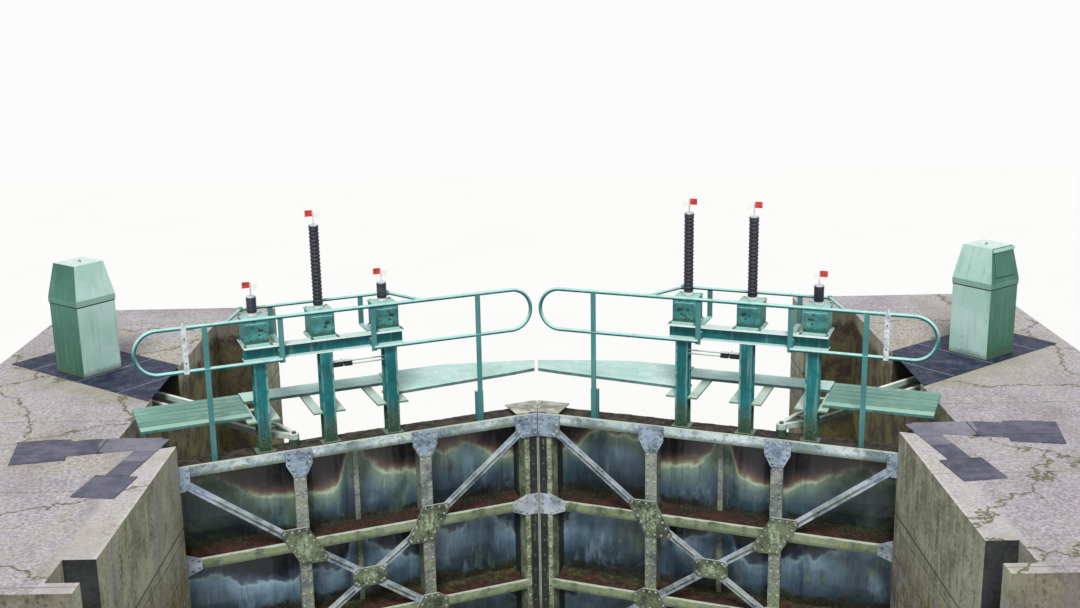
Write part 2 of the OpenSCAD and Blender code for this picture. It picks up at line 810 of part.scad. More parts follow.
// Gear boxes on base plates, with the neck that the bellows sits on
base_t = 20;
neck_h = 55;
module gear_boxes() {
    z0 = deck + beam_top;
    color(mint) for (u = gear_u) {
        difference() {
            union() {
                translate([u - 165, gear_v - gear_w / 2 - 30, z0]) cube([330, 420, base_t]);
                translate([u - box_w / 2, screw_v - 185, z0 + base_t]) cube([box_w, 310, box_h]);
                translate([u, screw_v, z0 + base_t]) cylinder(h = box_h + neck_h, r = 42);
            }
            translate([u, screw_v, z0 - 1]) cylinder(h = box_h + neck_h + base_t + 2, r = screw_r + 2);
        }
    }
}

// Which paddles stand raised, from the heel post on
left_up = [0, 1, 0];
right_up = [0, 1, 1];
neck_z = deck + beam_top + base_t + box_h + neck_h;
function lift_of(up) = up * paddle_lift;

// Bellows over the screw, from the neck to the cap
module bellows(u, up) {
    color(black) translate([u, screw_v, neck_z]) difference() {
        cylinder(h = bellows_low + lift_of(up), r = bellows_r);
        translate([0, 0, -1]) cylinder(h = bellows_low + lift_of(up) + 2, r = screw_r + 4);
    }
}

// Paddle, its rising screw, the cap over the bellows and the two vanes that show its height
cap_t = 15;
vane_w = 90;
module paddle(u, up) {
    lift = lift_of(up);
    back = web_v + skin_t;
    foot = port_z - 50 + lift;
    color(steel) {
        translate([u - paddle_w / 2, back + 8, foot]) cube([paddle_w, 25, paddle_h]);
        translate([u - 60, back + 33, foot + paddle_h - 200]) cube([120, screw_v - back - 33 + 25, 160]);
        translate([u, screw_v, foot + paddle_h - 120])
            cylinder(h = neck_z + bellows_low + lift - (foot + paddle_h - 120), r = screw_r);
        translate([u, screw_v, neck_z + bellows_low + lift]) cylinder(h = cap_t, r = bellows_r - 8);
        translate([u, screw_v, neck_z + bellows_low + lift + cap_t]) cylinder(h = 150, r = 8);
    }
    color("red") translate([u - vane_w, screw_v - 3, neck_z + bellows_low + lift + cap_t + 90])
        cube([vane_w, 6, 70]);
    color("white") translate([u, screw_v - 3, neck_z + bellows_low + lift + cap_t + 65])
        cube([vane_w - 15, 6, 60]);
}

// Operating strut: an eye on the leaf, two bars and cross plates
strut_z = rail_top_z + 90;
yoke_l = 400;
module strut() {
    color(mint) translate([strut_u, strut_v, strut_z]) rotate([0, 0, strut_dir - mitre_angle])
        mirror([0, 1, 0]) {
            difference() {
                union() {
                    cylinder(h = strut_t, r = 60);
                    for (side = [-1, 1]) {
                        linear_extrude(strut_t) hull() {
                            translate([20, side * 22]) circle(r = 25);
                            translate([yoke_l, side * strut_w / 2]) circle(r = 25);
                        }
                        translate([yoke_l, side * strut_w / 2 - 25, 0])
                            cube([strut_l - yoke_l, 50, strut_t]);
                    }
                    for (s = [yoke_l, (yoke_l + strut_l) / 2, strut_l - 80]) {
                        translate([s, -strut_w / 2, 20]) cube([80, strut_w, 20]);
                    }
                }
                translate([0, 0, -1]) cylinder(h = strut_t + 2, r = 25 + pin_gap);
            }
        }
}

// Pin and lug on the top rail that the strut turns on
module strut_pin() {
    color(steel) translate([strut_u, strut_v, rail_top_z]) {
        cylinder(h = 85, r = 60);
        cylinder(h = strut_z - rail_top_z + strut_t + 25, r = 25);
    }
}

lock_floor();
downstream_pier(false);  // left_downstream_pier
recess_wall(false);  // left_recess_wall
upstream_pier(false);  // left_upstream_pier
downstream_pier(true);  // right_downstream_pier
recess_wall(true);  // right_recess_wall
upstream_pier(true);  // right_upstream_pier
pintles();
collars();
anchor_plates();
pit_covers();
cabinets();
on_leaf(false) heel_post();  // left_heel_post
on_leaf(false) mitre_post();  // left_mitre_post
on_leaf(false) rails();  // left_rails
on_leaf(false) uprights();  // left_uprights
on_leaf(false) bracing();  // left_bracing
on_leaf(false) skin();  // left_skin
on_leaf(false) paddle_guides();  // left_paddle_guides
on_leaf(false) walkway();  // left_walkway
on_leaf(false) brackets();  // left_brackets
on_leaf(false) handrail();  // left_handrail
on_leaf(false) gear_frame();  // left_gear_frame
on_leaf(false) gear_boxes();  // left_gear_boxes
on_leaf(false) bellows(gear_u[0], left_up[0]);  // left_bellows_1
on_leaf(false) bellows(gear_u[1], left_up[1]);  // left_bellows_2
on_leaf(false) bellows(gear_u[2], left_up[2]);  // left_bellows_3
on_leaf(false) paddle(gear_u[0], left_up[0]);  // left_paddle_1
on_leaf(false) paddle(gear_u[1], left_up[1]);  // left_paddle_2
on_leaf(false) paddle(gear_u[2], left_up[2]);  // left_paddle_3
on_leaf(false) strut();  // left_strut
on_leaf(true) heel_post();  // right_heel_post
on_leaf(true) mitre_post();  // right_mitre_post
on_leaf(true) rails();  // right_rails
on_leaf(true) uprights();  // right_uprights
on_leaf(true) bracing();  // right_bracing
on_leaf(true) skin();  // right_skin
on_leaf(true) paddle_guides();  // right_paddle_guides
on_leaf(true) walkway();  // right_walkway
on_leaf(true) brackets();  // right_brackets
on_leaf(true) handrail();  // right_handrail
on_leaf(true) gear_frame();  // right_gear_frame
on_leaf(true) gear_boxes();  // right_gear_boxes
on_leaf(true) bellows(gear_u[0], right_up[0]);  // right_bellows_1
on_leaf(true) bellows(gear_u[1], right_up[1]);  // right_bellows_2
on_leaf(true) bellows(gear_u[2], right_up[2]);  // right_bellows_3
on_leaf(true) paddle(gear_u[0], right_up[0]);  // right_paddle_1
on_leaf(true) paddle(gear_u[1], right_up[1]);  // right_paddle_2
on_leaf(true) paddle(gear_u[2], right_up[2]);  // right_paddle_3
on_leaf(true) strut();  // right_strut
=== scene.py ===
"""Lock head with riveted mitre leaves: finishes, rivets, boards, bellows and stage."""

import math
from functools import reduce

import bpy
import numpy as np
from bpy.props import FloatProperty, FloatVectorProperty, IntProperty, PointerProperty
from bpy.types import Operator, Panel, PropertyGroup
from mathutils import Matrix, Vector


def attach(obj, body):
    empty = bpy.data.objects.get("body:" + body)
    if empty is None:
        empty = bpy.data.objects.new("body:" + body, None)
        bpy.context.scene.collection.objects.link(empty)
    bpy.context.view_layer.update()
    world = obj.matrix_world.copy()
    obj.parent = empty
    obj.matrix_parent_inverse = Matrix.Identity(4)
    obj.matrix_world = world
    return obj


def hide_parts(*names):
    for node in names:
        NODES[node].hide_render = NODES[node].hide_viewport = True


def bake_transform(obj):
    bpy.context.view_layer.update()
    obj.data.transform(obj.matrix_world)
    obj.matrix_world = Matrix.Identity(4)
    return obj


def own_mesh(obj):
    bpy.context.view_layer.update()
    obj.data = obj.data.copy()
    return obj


bl_info = {
    "name": "Lock Head Dressing",
    "version": (1, 0, 0),
    "blender": (4, 5, 0),
    "location": "3D View > Sidebar > Lock Head",
    "description": "Finishes and fittings for a canal lock head with mitre leaves",
    "category": "Object",
}

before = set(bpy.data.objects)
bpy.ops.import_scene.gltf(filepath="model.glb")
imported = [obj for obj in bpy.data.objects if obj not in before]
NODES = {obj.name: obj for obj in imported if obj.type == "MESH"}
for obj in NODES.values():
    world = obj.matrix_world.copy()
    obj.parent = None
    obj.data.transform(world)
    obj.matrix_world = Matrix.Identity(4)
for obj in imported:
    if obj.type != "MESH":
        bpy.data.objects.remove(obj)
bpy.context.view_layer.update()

# Places that the model fixes, in metres. First the leaf, in its own u along it from the heel, v
# through it from the face of the posts upstream and z up it: the straps' and plates' faces are in v
MITRE = math.radians(22)
HEEL_X = 4.15
HINGE_Y = -1.0765
LEAF_Z = 0.56
COPING = 6.8
AXIS_V = 0.2
SIDES = {"left": -1, "right": 1}
RAILS = (5.915, 4.815, 3.765, 2.765, 1.815, 0.915, 0.065)
LEAF_L = (HEEL_X - 0.003 - AXIS_V * math.sin(MITRE)) / math.cos(MITRE)
POST_U0 = LEAF_L - 0.17
LEAF_TOP = RAILS[0] + 0.065
UPRIGHTS = (1.49, 2.97)
MID_U = (UPRIGHTS[0] + UPRIGHTS[1]) / 2
CENTRE = (MID_U, (RAILS[1] + RAILS[2]) / 2)
FRONT = ((1, 0, 0), (0, 0, 1), (0, -1, 0))
WET_LINE = (4.5, 4.0)
STRAP_V = -0.012
TEE_V = -0.024
PLATE_V = -0.036
RIVET_INSET = 0.032
RIVET_PITCH = 0.085
TEE_PITCH = 0.075

# The gear on the leaf. LOW is the height of a shut bellows, LIFT what a raised paddle adds to it
DECK = COPING - LEAF_Z
GEARS = (1.17, 1.92, 2.67)
RAISED = {"left": (0, 1, 0), "right": (0, 1, 1)}
LIFT = 0.74
SCREW_V = 0.465
BOX_FRONT = SCREW_V - 0.185
BOX_Z = DECK + 0.93
BOX_H = 0.275
NECK_H = 0.055
NECK_Z = COPING + 0.91 + 0.02 + BOX_H + NECK_H
LOW = 0.17
LOW_PLEATS = 9
OIL_Z = DECK + 0.59
BAR_U = 0.37
BAR_T = 0.006
RAIL_V = 0.14
TUBE_R = 0.022

# The machine pits and the cabinets, which stand along (S) and beside (OUT) the pit's middle line;
# the hood's rim and height count from its foot at HOOD_Z
PIN_WORLD = (-2.779921, -0.436669)
PIT_TURN = math.radians(143.5)
CABINET_S = 3.59
CABINET_OUT = 0.1
CABINET_HALF = 0.28
CABINET_FOOT = COPING + 0.008
HOOD_Z = 0.92
HOOD_RIM = 0.07
HOOD_H = 0.5
HOOD_LEAN = 0.075
PLATE_SEAMS = (CABINET_S - 1.1, CABINET_S - CABINET_HALF - 0.012, CABINET_S + CABINET_HALF + 0.35)
BARS_PER_METRE = 22.0

# The walls: the stop log groove near their downstream end, the recess up to the wall upstream
HALF_LENGTH = 9.353 / 2
GROOVE_IN, GROOVE_W = 0.2, 0.45
GROOVE_BACK = GROOVE_IN + GROOVE_W - HALF_LENGTH
WALL_UP = 0.9
RECESS_END = HALF_LENGTH - WALL_UP
INNER_FACE = 3.9

# The stage
FLOOR_HALF = 60
SUN_WAY = (0.05, 0.68, -0.73)
CAMERA_PLACE = (-0.06, -14.84, 11.84)
CAMERA_TURNS = ((-0.43, "Z"), (75.43, "X"), (-1.01, "Z"))


# ---------------------------------------------------------------- shapes

class Form:
    """Points and faces of one shape, kept as arrays; adding two forms puts them in one mesh."""

    def __init__(self, points, *faces):
        self.points = np.asarray(points, float).reshape(-1, 3)
        self.faces = [np.asarray(f, int) for f in faces if len(f)]

    def __add__(self, other):
        start = len(self.points)
        faces = self.faces + [f + start for f in other.faces]
        return Form(np.concatenate([self.points, other.points]), *faces)

    def flipped(self):
        """The same points with every face turned over."""
        return Form(self.points, *[f[:, ::-1] for f in self.faces])

    def copies(self, places, axes):
        """A copy at each place: place + x*axes[0] + y*axes[1] + z*axes[2]."""
        places = np.asarray(places, float).reshape(-1, 3)
        count, size = len(places), len(self.points)
        points = places[:, None, :] + (self.points @ np.asarray(axes, float))[None]
        steps = (np.arange(count) * size)[:, None, None]
        faces = [(f[None] + steps).reshape(-1, f.shape[1]) for f in self.faces]
        return Form(points.reshape(-1, 3), *faces)


def gather(forms):
    """All the forms in one."""
    forms = list(forms)
    whole = forms[0]
    for form in forms[1:]:
        whole = whole + form
    return whole


def grid_faces(rows, cols, wrap):
    """Quads of a grid of rows x cols points; with wrap the last column joins the first."""
    i = np.arange(rows - 1)[:, None]
    j = np.arange(cols if wrap else cols - 1)[None, :]
    a = i * cols + j
    b = i * cols + (j + 1) % cols
    return np.stack([a, b, b + cols, a + cols], -1).reshape(-1, 4)


def tube(rings, first, last):
    """A closed tube through rings of points, fanned shut about a middle point at each end."""
    rows, sides = rings.shape[:2]
    k = np.arange(sides)
    turn = (k + 1) % sides
    count, top = rows * sides, (rows - 1) * sides
    low = np.stack([np.full(sides, count), turn, k], -1)
    high = np.stack([np.full(sides, count + 1), top + k, top + turn], -1)
    points = np.concatenate([rings.reshape(-1, 3), [first, last]])
    return Form(points, grid_faces(rows, sides, True), np.concatenate([low, high]))


def turned(radii, heights, sides):
    """A closed turned form: at height z and angle t the point is (r cos t, r sin t, z)."""
    radii, heights = np.asarray(radii, float), np.asarray(heights, float)
    t = np.arange(sides) * 2 * math.pi / sides
    ring = np.stack([np.cos(t), np.sin(t)], -1)
    up = np.broadcast_to(heights[:, None, None], (len(radii), sides, 1))
    rings = np.concatenate([ring[None] * radii[:, None, None], up], -1)
    return tube(rings, [0, 0, heights[0]], [0, 0, heights[-1]])


def hexahedron(points):
    """A solid of six faces; its points come in the order of z, then y, then x."""
    return Form(points, [(0, 2, 3, 1), (4, 5, 7, 6), (0, 1, 5, 4), (2, 6, 7, 3), (0, 4, 6, 2),
                         (1, 3, 7, 5)])


def block(low, high):
    """A box between two corners."""
    (a, b, c), (d, e, f) = low, high
    return hexahedron([(x, y, z) for z in (c, f) for y in (b, e) for x in (a, d)])


def swept(path, radius, sides):
    """A round tube along a path: each ring is radius*(n cos t + m sin t) about its point, where n
    and m stand square to the path."""
    path = np.asarray(path, float)
    along = np.gradient(path, axis=0)
    along /= np.linalg.norm(along, axis=1)[:, None]
    up = np.where(np.abs(along[:, 2:3]) > 0.9, [[1.0, 0, 0]], [[0, 0, 1.0]])
    n = np.cross(up, along)
    n /= np.linalg.norm(n, axis=1)[:, None]
    m = np.cross(along, n)
    t = np.arange(sides) * 2 * math.pi / sides
    ring = np.cos(t)[None, :, None] * n[:, None] + np.sin(t)[None, :, None] * m[:, None]
    return tube(path[:, None] + radius * ring, path[0], path[-1])


def leaf_place(uvz, side):
    """Leaf coordinates to the model's: x = -s(heel - u cos a + (v - axis) sin a) and so on, with
    s = -1 on the left and +1 on the right."""
    uvz = np.asarray(uvz, float).reshape(-1, 3)
    u, v, z = uvz[:, 0], uvz[:, 1] - AXIS_V, uvz[:, 2]
    x = -HEEL_X + u * math.cos(MITRE) - v * math.sin(MITRE)
    y = HINGE_Y + u * math.sin(MITRE) + v * math.cos(MITRE)
    return np.stack([-SIDES[side] * x, y, z + LEAF_Z], -1)


def on_leaf(form, side):
    """A form drawn in u, v and z, put on one leaf."""
    moved = Form(leaf_place(form.points, side), *form.faces)
    return moved.flipped() if side == "right" else moved


def piece(name, form, finish, body):
    """Makes a mesh object from a form, gives it its finish and lets it ride on a body."""
    mesh = bpy.data.meshes.new(name)
    mesh.vertices.add(len(form.points))
    mesh.vertices.foreach_set("co", form.points.astype(np.float32).ravel())
    corners = np.concatenate([f.ravel() for f in form.faces])
    sizes = np.concatenate([np.full(len(f), f.shape[1]) for f in form.faces])
    mesh.loops.add(len(corners))
    mesh.loops.foreach_set("vertex_index", corners.astype(np.int32))
    mesh.polygons.add(len(sizes))
    mesh.polygons.foreach_set("loop_start", (np.cumsum(sizes) - sizes).astype(np.int32))
    mesh.polygons.foreach_set("use_smooth", np.zeros(len(sizes), bool))
    mesh.update(calc_edges=True)
    mesh.validate()
    mesh.materials.append(finish)
    obj = bpy.data.objects.new(name, mesh)
    bpy.context.scene.collection.objects.link(obj)
    if body:
        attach(obj, body)
    return obj


def smooth(obj, angle):
    """Shades an object smooth, apart from edges sharper than an angle."""
    obj.data.polygons.foreach_set("use_smooth", np.ones(len(obj.data.polygons), bool))
    obj.data.set_sharp_from_angle(angle=angle)


def leaf_piece(side, part, forms, finish, angle=None):
    """A piece that rides on one leaf, shaded smooth where an angle is given."""
    form = on_leaf(gather(forms), side)
    obj = piece(f"{side}_{part}", form, finish, f"{side}_leaf")
    if angle:
        smooth(obj, angle)
    return obj


# ---------------------------------------------------------------- shader sums

class Tone:
    """A number or a colour in a material, so that finishes can be written as sums."""

    def __init__(self, paint, socket):
        self.paint = paint
        self.socket = socket

    def __add__(self, other):
        return self.paint.sum_of(self, "ADD", other)

    def __sub__(self, other):
        return self.paint.sum_of(self, "SUBTRACT", other)

    def __rsub__(self, other):
        return self.paint.sum_of(other, "SUBTRACT", self)

    def __mul__(self, other):
        return self.paint.sum_of(self, "MULTIPLY", other)

    def __truediv__(self, other):
        return self.paint.sum_of(self, "DIVIDE", other)

    def __abs__(self):
        return self.paint.sum_of(self, "ABSOLUTE")

    __radd__ = __add__
    __rmul__ = __mul__

    def most(self, other):
        return self.paint.sum_of(self, "MAXIMUM", other)

    def least(self, other):
        return self.paint.sum_of(self, "MINIMUM", other)

    def ramp(self, low, high):
        """0 below low, 1 above high and a smooth rise between; low may be the greater one."""
        return self.paint.node(
            "ShaderNodeMapRange", {"interpolation_type": "SMOOTHSTEP"},
            {"Value": self, "From Min": low, "From Max": high})

    def tones(self, low, high, dark, light):
        """A colour that goes from dark to light, both display values, as this goes over a range."""
        return self.paint.mix(self.ramp(low, high), tint(*dark), tint(*light))

    def coat(self, share, *colour):
        """Lays another colour, a tone or three display values, over this one by a share."""
        over = tint(*colour) if len(colour) == 3 else colour[0]
        self.socket = self.paint.mix(share, self, over).socket

    def colours(self, stops, reach=1):
        """A colour that runs straight between stops, each a place from 0 to reach and a colour."""
        place = self if reach == 1 else self / reach
        made = self.paint.node("ShaderNodeValToRGB", {}, {0: place})
        ramp = made.socket.node.color_ramp.elements
        while len(ramp) > 1:
            ramp.remove(ramp[-1])
        for k, (at, *colour) in enumerate(stops):
            stop = ramp.new(at / reach) if k else ramp[0]
            stop.position = at / reach
            stop.color = (*(tint(*colour) if reach == 1 else colour), 1)
        return made

    def steps(self, reach, stops):
        """A grey that runs straight between stops (place, value) over the range 0 to reach."""
        shade = self.colours([(place, *(value,) * 3) for place, value in stops], reach)
        return self.paint.node("ShaderNodeSeparateColor", {}, {0: shade}, "Red")


class Tree:
    """A node tree being made: any node, sums and mixed colours."""

    def __init__(self, tree):
        self.tree = tree
        self.tree.nodes.clear()
        self.count = 0

    def node(self, kind, settings, sockets, out=0):
        """Any node: its settings first, then the values or links of its sockets."""
        made = self.tree.nodes.new(kind)
        made.location = (200 * (self.count % 12), -180 * (self.count // 12))
        self.count += 1
        for key, value in settings.items():
            setattr(made, key, value)
        for key, value in sockets.items():
            if isinstance(value, Tone):
                self.tree.links.new(value.socket, made.inputs[key])
            elif value is not None:
                made.inputs[key].default_value = value
        return Tone(self, made.outputs[out]) if made.outputs else None

    def sum_of(self, value, operation, other=None):
        return self.node("ShaderNodeMath", {"operation": operation}, {0: value, 1: other})

    def mix(self, share, a, b, blend="MIX"):
        """Colour a where share is 0 and colour b where it is 1."""
        a = a if isinstance(a, Tone) else (*a, 1)
        b = b if isinstance(b, Tone) else (*b, 1)
        return self.node("ShaderNodeMix", {"data_type": "RGBA", "blend_type": blend},
                         {0: share, 6: a, 7: b}, 2)


class Paint(Tree):
    """One material being made: places, patterns and the surface at the end."""

    def __init__(self, name):
        self.material = bpy.data.materials.new(name)
        self.material.use_nodes = True
        super().__init__(self.material.node_tree)
        self.place = self.node("ShaderNodeTexCoord", {}, {}, "Object")
        self.normal = self.node("ShaderNodeTexCoord", {}, {}, "Normal")

    def axis(self, name, source=None):
        return self.node("ShaderNodeSeparateXYZ", {}, {0: source or self.place}, name)

    def stretched(self, scale, shift=(0, 0, 0)):
        """The place, stretched along each axis."""
        return self.node("ShaderNodeMapping", {}, {"Vector": self.place, "Scale": scale,
                                                   "Location": shift})

    def noise(self, scale, detail, rough, at=None, out=0):
        return self.node("ShaderNodeTexNoise", {}, {"Vector": at or self.place, "Scale": scale,
                                                    "Detail": detail, "Roughness": rough}, out)

    def noises(self, *rows):
        """Several noises, each from its scale, detail and roughness."""
        return [self.noise(*row) for row in rows]

    def streaks(self, scale, detail, rough, shift=(0, 0, 0)):
        """Noise whose scale differs along each axis."""
        return self.noise(1.0, detail, rough, self.stretched(scale, shift))

    def cells(self, scale, at=None, feature="F1", out="Distance"):
        return self.node("ShaderNodeTexVoronoi", {"feature": feature},
                         {"Vector": at or self.place, "Scale": scale}, out)

    def surface(self, colour, rough, relief=None, metal=None, specular=None):
        """The Principled surface; relief is a height with its strength and depth."""
        normal = relief and self.node(
            "ShaderNodeBump", {}, dict(zip(("Height", "Strength", "Distance"), relief)), "Normal")
        shader = self.node("ShaderNodeBsdfPrincipled", {}, {
            "Base Color": colour, "Roughness": rough, "Metallic": metal, "Normal": normal,
            "Specular IOR Level": specular})
        self.node("ShaderNodeOutputMaterial", {}, {"Surface": shader})
        return self.material


def tint(red, green, blue):
    """A colour given as display values from 0 to 255, made linear."""
    shares = np.array([red, green, blue]) / 255
    return tuple(float(v) for v in np.where(shares <= 0.04045, shares / 12.92,
                                            ((shares + 0.055) / 1.055) ** 2.4))


# ---------------------------------------------------------------- finishes

def leaf_axes(p):
    """u, v and z of the leaf a point is on; both leaves share them because they mirror."""
    across = HEEL_X - abs(p.axis("X"))
    along = p.axis("Y") - HINGE_Y
    u = across * math.cos(MITRE) + along * math.sin(MITRE)
    v = along * math.cos(MITRE) - across * math.sin(MITRE) + AXIS_V
    return u, v, p.axis("Z") - LEAF_Z


def wet(p):
    """How far a point lies in the part of the leaf that water keeps dark, with a ragged edge."""
    edge = p.noise(1.3, 4, 0.6) * 0.5
    return (p.axis("Z") + edge).ramp(*WET_LINE)


def joint_share(p, u, z):
    """1 at the middle of a big gusset of the upper cross, falling to 0 at its rim."""
    du = abs(abs(u - MID_U) - (UPRIGHTS[1] - MID_U))
    far = p.sum_of(du * du + (z - RAILS[1]) * (z - RAILS[1]) * 0.5, "SQRT")
    across, rise = u - MID_U, z - CENTRE[1]
    middle = p.sum_of(across * across * 0.7 + rise * rise * 2.0, "SQRT")
    return far.least(middle * 1.3).ramp(0.15, 0.04)


def riveted_steel(name, moss, bare):
    """Grey weathered steel with lichen, moss patches, rust specks and upward faces painted pale as
    highlights.
    """
    p = Paint(name)
    u, v, z = leaf_axes(p)
    broad, patch, fine = p.noises((1.7, 5, 0.6), (5.5, 5, 0.6), (34.0, 5, 0.65))
    up = p.axis("Z", p.normal)
    steel = (broad * 0.6 + patch * 0.4).tones(0.4, 0.6, (88, 98, 96), bare)
    steel.coat((patch * 0.4 + fine * 0.6).ramp(0.52, 0.62) * 0.6, 160, 172, 160)
    growth = (patch * 0.55 + broad * 0.45 + moss - (z - 4.9) * 0.06).ramp(0.5, 0.64)
    green = fine.tones(0.38, 0.62, (58, 68, 36), (126, 138, 92))
    colour = p.mix(growth * 0.75, steel, green)
    dirt = (patch * 0.4 + fine * 0.6).ramp(0.46, 0.38)
    colour.coat(dirt * 0.7, 38, 44, 40)
    rust = (p.noise(12.0, 6, 0.7) + fine * 0.2).ramp(0.72, 0.8)
    colour.coat(rust * 0.7, 92, 62, 46)
    # painted highlight: upward faces paler, broken up by fine noise
    colour.coat(up.ramp(0.4, 0.9) * fine.ramp(0.25, 0.5) * 0.7, 188, 194, 180)
    tarred = (u + v * 0.3).ramp(LEAF_L - 0.115, LEAF_L - 0.105) * v.ramp(-0.022, -0.016)
    colour.coat(tarred * 0.9, 46, 52, 50)
    soaked = wet(p)
    deep = patch.tones(0.35, 0.65, (38, 40, 24), (74, 74, 44))
    colour.coat(soaked * 0.85, deep)
    rough = fine * 0.25 + 0.5 - soaked * 0.2
    return p.surface(colour, rough, (patch * 0.6 + fine * 0.5, 0.45, 0.01))


def brace_steel(moss):
    """Braces: smooth bluish grey bars with mossy smears; gussets dark grey green with chalky
    middles, except the bluish ones under the top rail."""
    p = Paint("brace_steel")
    u, v, z = leaf_axes(p)
    broad, patch, fine = p.noises((1.7, 5, 0.6), (6.0, 5, 0.62), (34.0, 5, 0.65))
    up = p.axis("Z", p.normal)
    bar = (broad * 0.5 + patch * 0.5).tones(0.4, 0.6, (106, 118, 130), (176, 186, 198))
    smear = (patch * 0.6 + fine * 0.3 + moss - (z - 4.9) * 0.05).ramp(0.5, 0.64)
    bar.coat(smear * 0.65, fine.tones(0.38, 0.62, (66, 76, 56), (130, 140, 108)))
    plate = (patch * 0.6 + fine * 0.4).tones(0.4, 0.6, (46, 54, 38), (104, 114, 88))
    streak = p.streaks((24, 24, 5), 5, 0.65)
    share = joint_share(p, u, z) * (streak * 0.7 + fine * 0.4).ramp(0.48, 0.62)
    plate.coat(share * 0.85, 158, 178, 148)
    top = (patch * 0.7 + fine * 0.3).tones(0.36, 0.6, (84, 98, 112), (150, 170, 192))
    top.coat((patch * 0.5 + broad * 0.5 + moss).ramp(0.56, 0.66) * 0.7, 78, 88, 62)
    plate.coat(z.ramp(5.5, 5.6), top)
    face = v.ramp(-0.0265, -0.031).most(z.ramp(5.6, 5.65))
    colour = p.mix(face, bar, plate)
    specks = (patch * 0.4 + fine * 0.6).ramp(0.46, 0.38)
    colour.coat(specks * (0.65 - z.ramp(5.45, 5.55) * 0.35), 34, 40, 38)
    colour.coat((p.noise(12.0, 6, 0.7) + fine * 0.2).ramp(0.74, 0.82) * 0.7, 92, 64, 48)
    # painted highlight: upward faces paler
    colour.coat(up.ramp(0.3, 0.8) * 0.75, 196, 206, 200)
    colour.coat(wet(p) * 0.85, patch.tones(0.35, 0.65, (38, 40, 24), (74, 74, 44)))
    return p.surface(colour, fine * 0.25 + 0.45, (patch * 0.5 + fine * 0.4, 0.4, 0.01))


def post_steel():
    """Mitre posts: a green frame edge, then near black tarred steel with moss and pale scars, and
    a rubbed edge at the mitre."""
    p = Paint("post_steel")
    u, v, _ = leaf_axes(p)
    patch, fine = p.noises((6.0, 6, 0.68), (34.0, 5, 0.65))
    up = p.axis("Z", p.normal)
    black = (patch * 0.5 + fine * 0.5).tones(0.4, 0.62, (14, 17, 18), (44, 50, 48))
    scars = p.streaks((26, 26, 2.2), 5, 0.66)
    black.coat((scars + patch * 0.2).ramp(0.7, 0.78) * 0.6, 140, 150, 134)
    tip = (u - v * math.tan(MITRE)).ramp(LEAF_L - 0.014, LEAF_L - 0.008)
    black.coat(tip * (patch * 0.8 + 0.4).least(1.0), 176, 180, 164)
    green = (patch * 0.6 + fine * 0.4).tones(0.4, 0.6, (92, 104, 76), (158, 168, 140))
    edge = (u + v * 0.3).ramp(LEAF_L - 0.105, LEAF_L - 0.115)
    colour = p.mix(edge * (patch * 0.8 + 0.45).least(1.0), black, green)
    cap = patch.tones(0.4, 0.6, (140, 142, 130), (212, 210, 198))
    colour.coat(up.ramp(0.5, 0.9) * 0.85, cap)
    colour.coat(wet(p) * 0.6, 40, 42, 28)
    return p.surface(colour, fine * 0.3 + 0.4, (patch * 0.5 + fine * 0.5, 0.5, 0.012))


def shares_of_rows(z, low, high, reach):
    """0 at the lower and 1 at the upper line of each pair, from a ramp over the leaf's height."""
    return z.steps(reach, [stop for a, b in zip(low, high) for stop in ((a, 0), (b, 1))])


def rail_steel():
    """Rails: grey green fronts, bluish at the top rail, with a pale upper edge painted as a
    highlight and a foot painted darker as shade; the undersides are painted dark as shade too.
    """
    p = Paint("rail_steel")
    _, v, z = leaf_axes(p)
    broad, patch, fine = p.noises((1.5, 5, 0.6), (6.5, 5, 0.62), (38.0, 5, 0.65))
    up = p.axis("Z", p.normal)
    top_rail = z.ramp(5.3, 5.5)
    lines = RAILS[::-1]
    face = shares_of_rows(z, [r - 0.064 for r in lines], [r + 0.066 for r in lines], 6.2)
    green = (patch * 0.5 + broad * 0.5).tones(0.38, 0.62, (84, 100, 74), (148, 160, 134))
    blue = (patch * 0.4 + broad * 0.6).tones(0.4, 0.6, (112, 132, 138), (202, 220, 224))
    front = p.mix(top_rail, green, blue)
    foot = 0.03 - face.ramp(0.6, 0.2) * 0.06
    moss = (patch * 0.6 + fine * 0.4 - top_rail * foot).ramp(0.5, 0.58)
    front.coat(moss * 0.7, fine.tones(0.42, 0.58, (58, 70, 30), (122, 136, 78)))
    front.coat((patch * 0.4 + fine * 0.6).ramp(0.45, 0.38) * 0.6, 46, 54, 40)
    # painted shade: each front darker towards its foot
    front.coat(face.ramp(0.42, 0.02) * 0.6, 46, 54, 42)
    # painted highlight along each front's upper edge
    front.coat((face + patch * 0.4).ramp(1.0, 1.12) * 0.85, 196, 206, 190)
    front.coat(p.noise(14.0, 5, 0.7).ramp(0.64, 0.72) * 0.6, 88, 66, 50)
    level = up.ramp(0.5, 0.85) * v.ramp(0.012, 0.03)
    colour = p.mix(level, front, patch.tones(0.4, 0.6, (26, 18, 16), (66, 42, 32)))
    # painted shade: downward faces darker
    colour.coat(up.ramp(-0.5, -0.85) * 0.7, 24, 28, 26)
    # painted highlight: upward faces along the front edge paler
    edge = up.ramp(0.5, 0.85) * v.ramp(0.02, 0.008)
    colour.coat(edge * 0.85, 192, 200, 184)
    behind = v.ramp(0.05, 0.1) * (1 - level)
    colour.coat(behind * 0.6, 30, 34, 34)
    soaked = wet(p)
    colour.coat(soaked * 0.75, patch.tones(0.35, 0.65, (34, 34, 20), (78, 76, 44)))
    rough = fine * 0.3 + 0.5 - soaked * 0.2
    return p.surface(colour, rough, (patch * 0.5 + fine * 0.4, 0.5, 0.012))


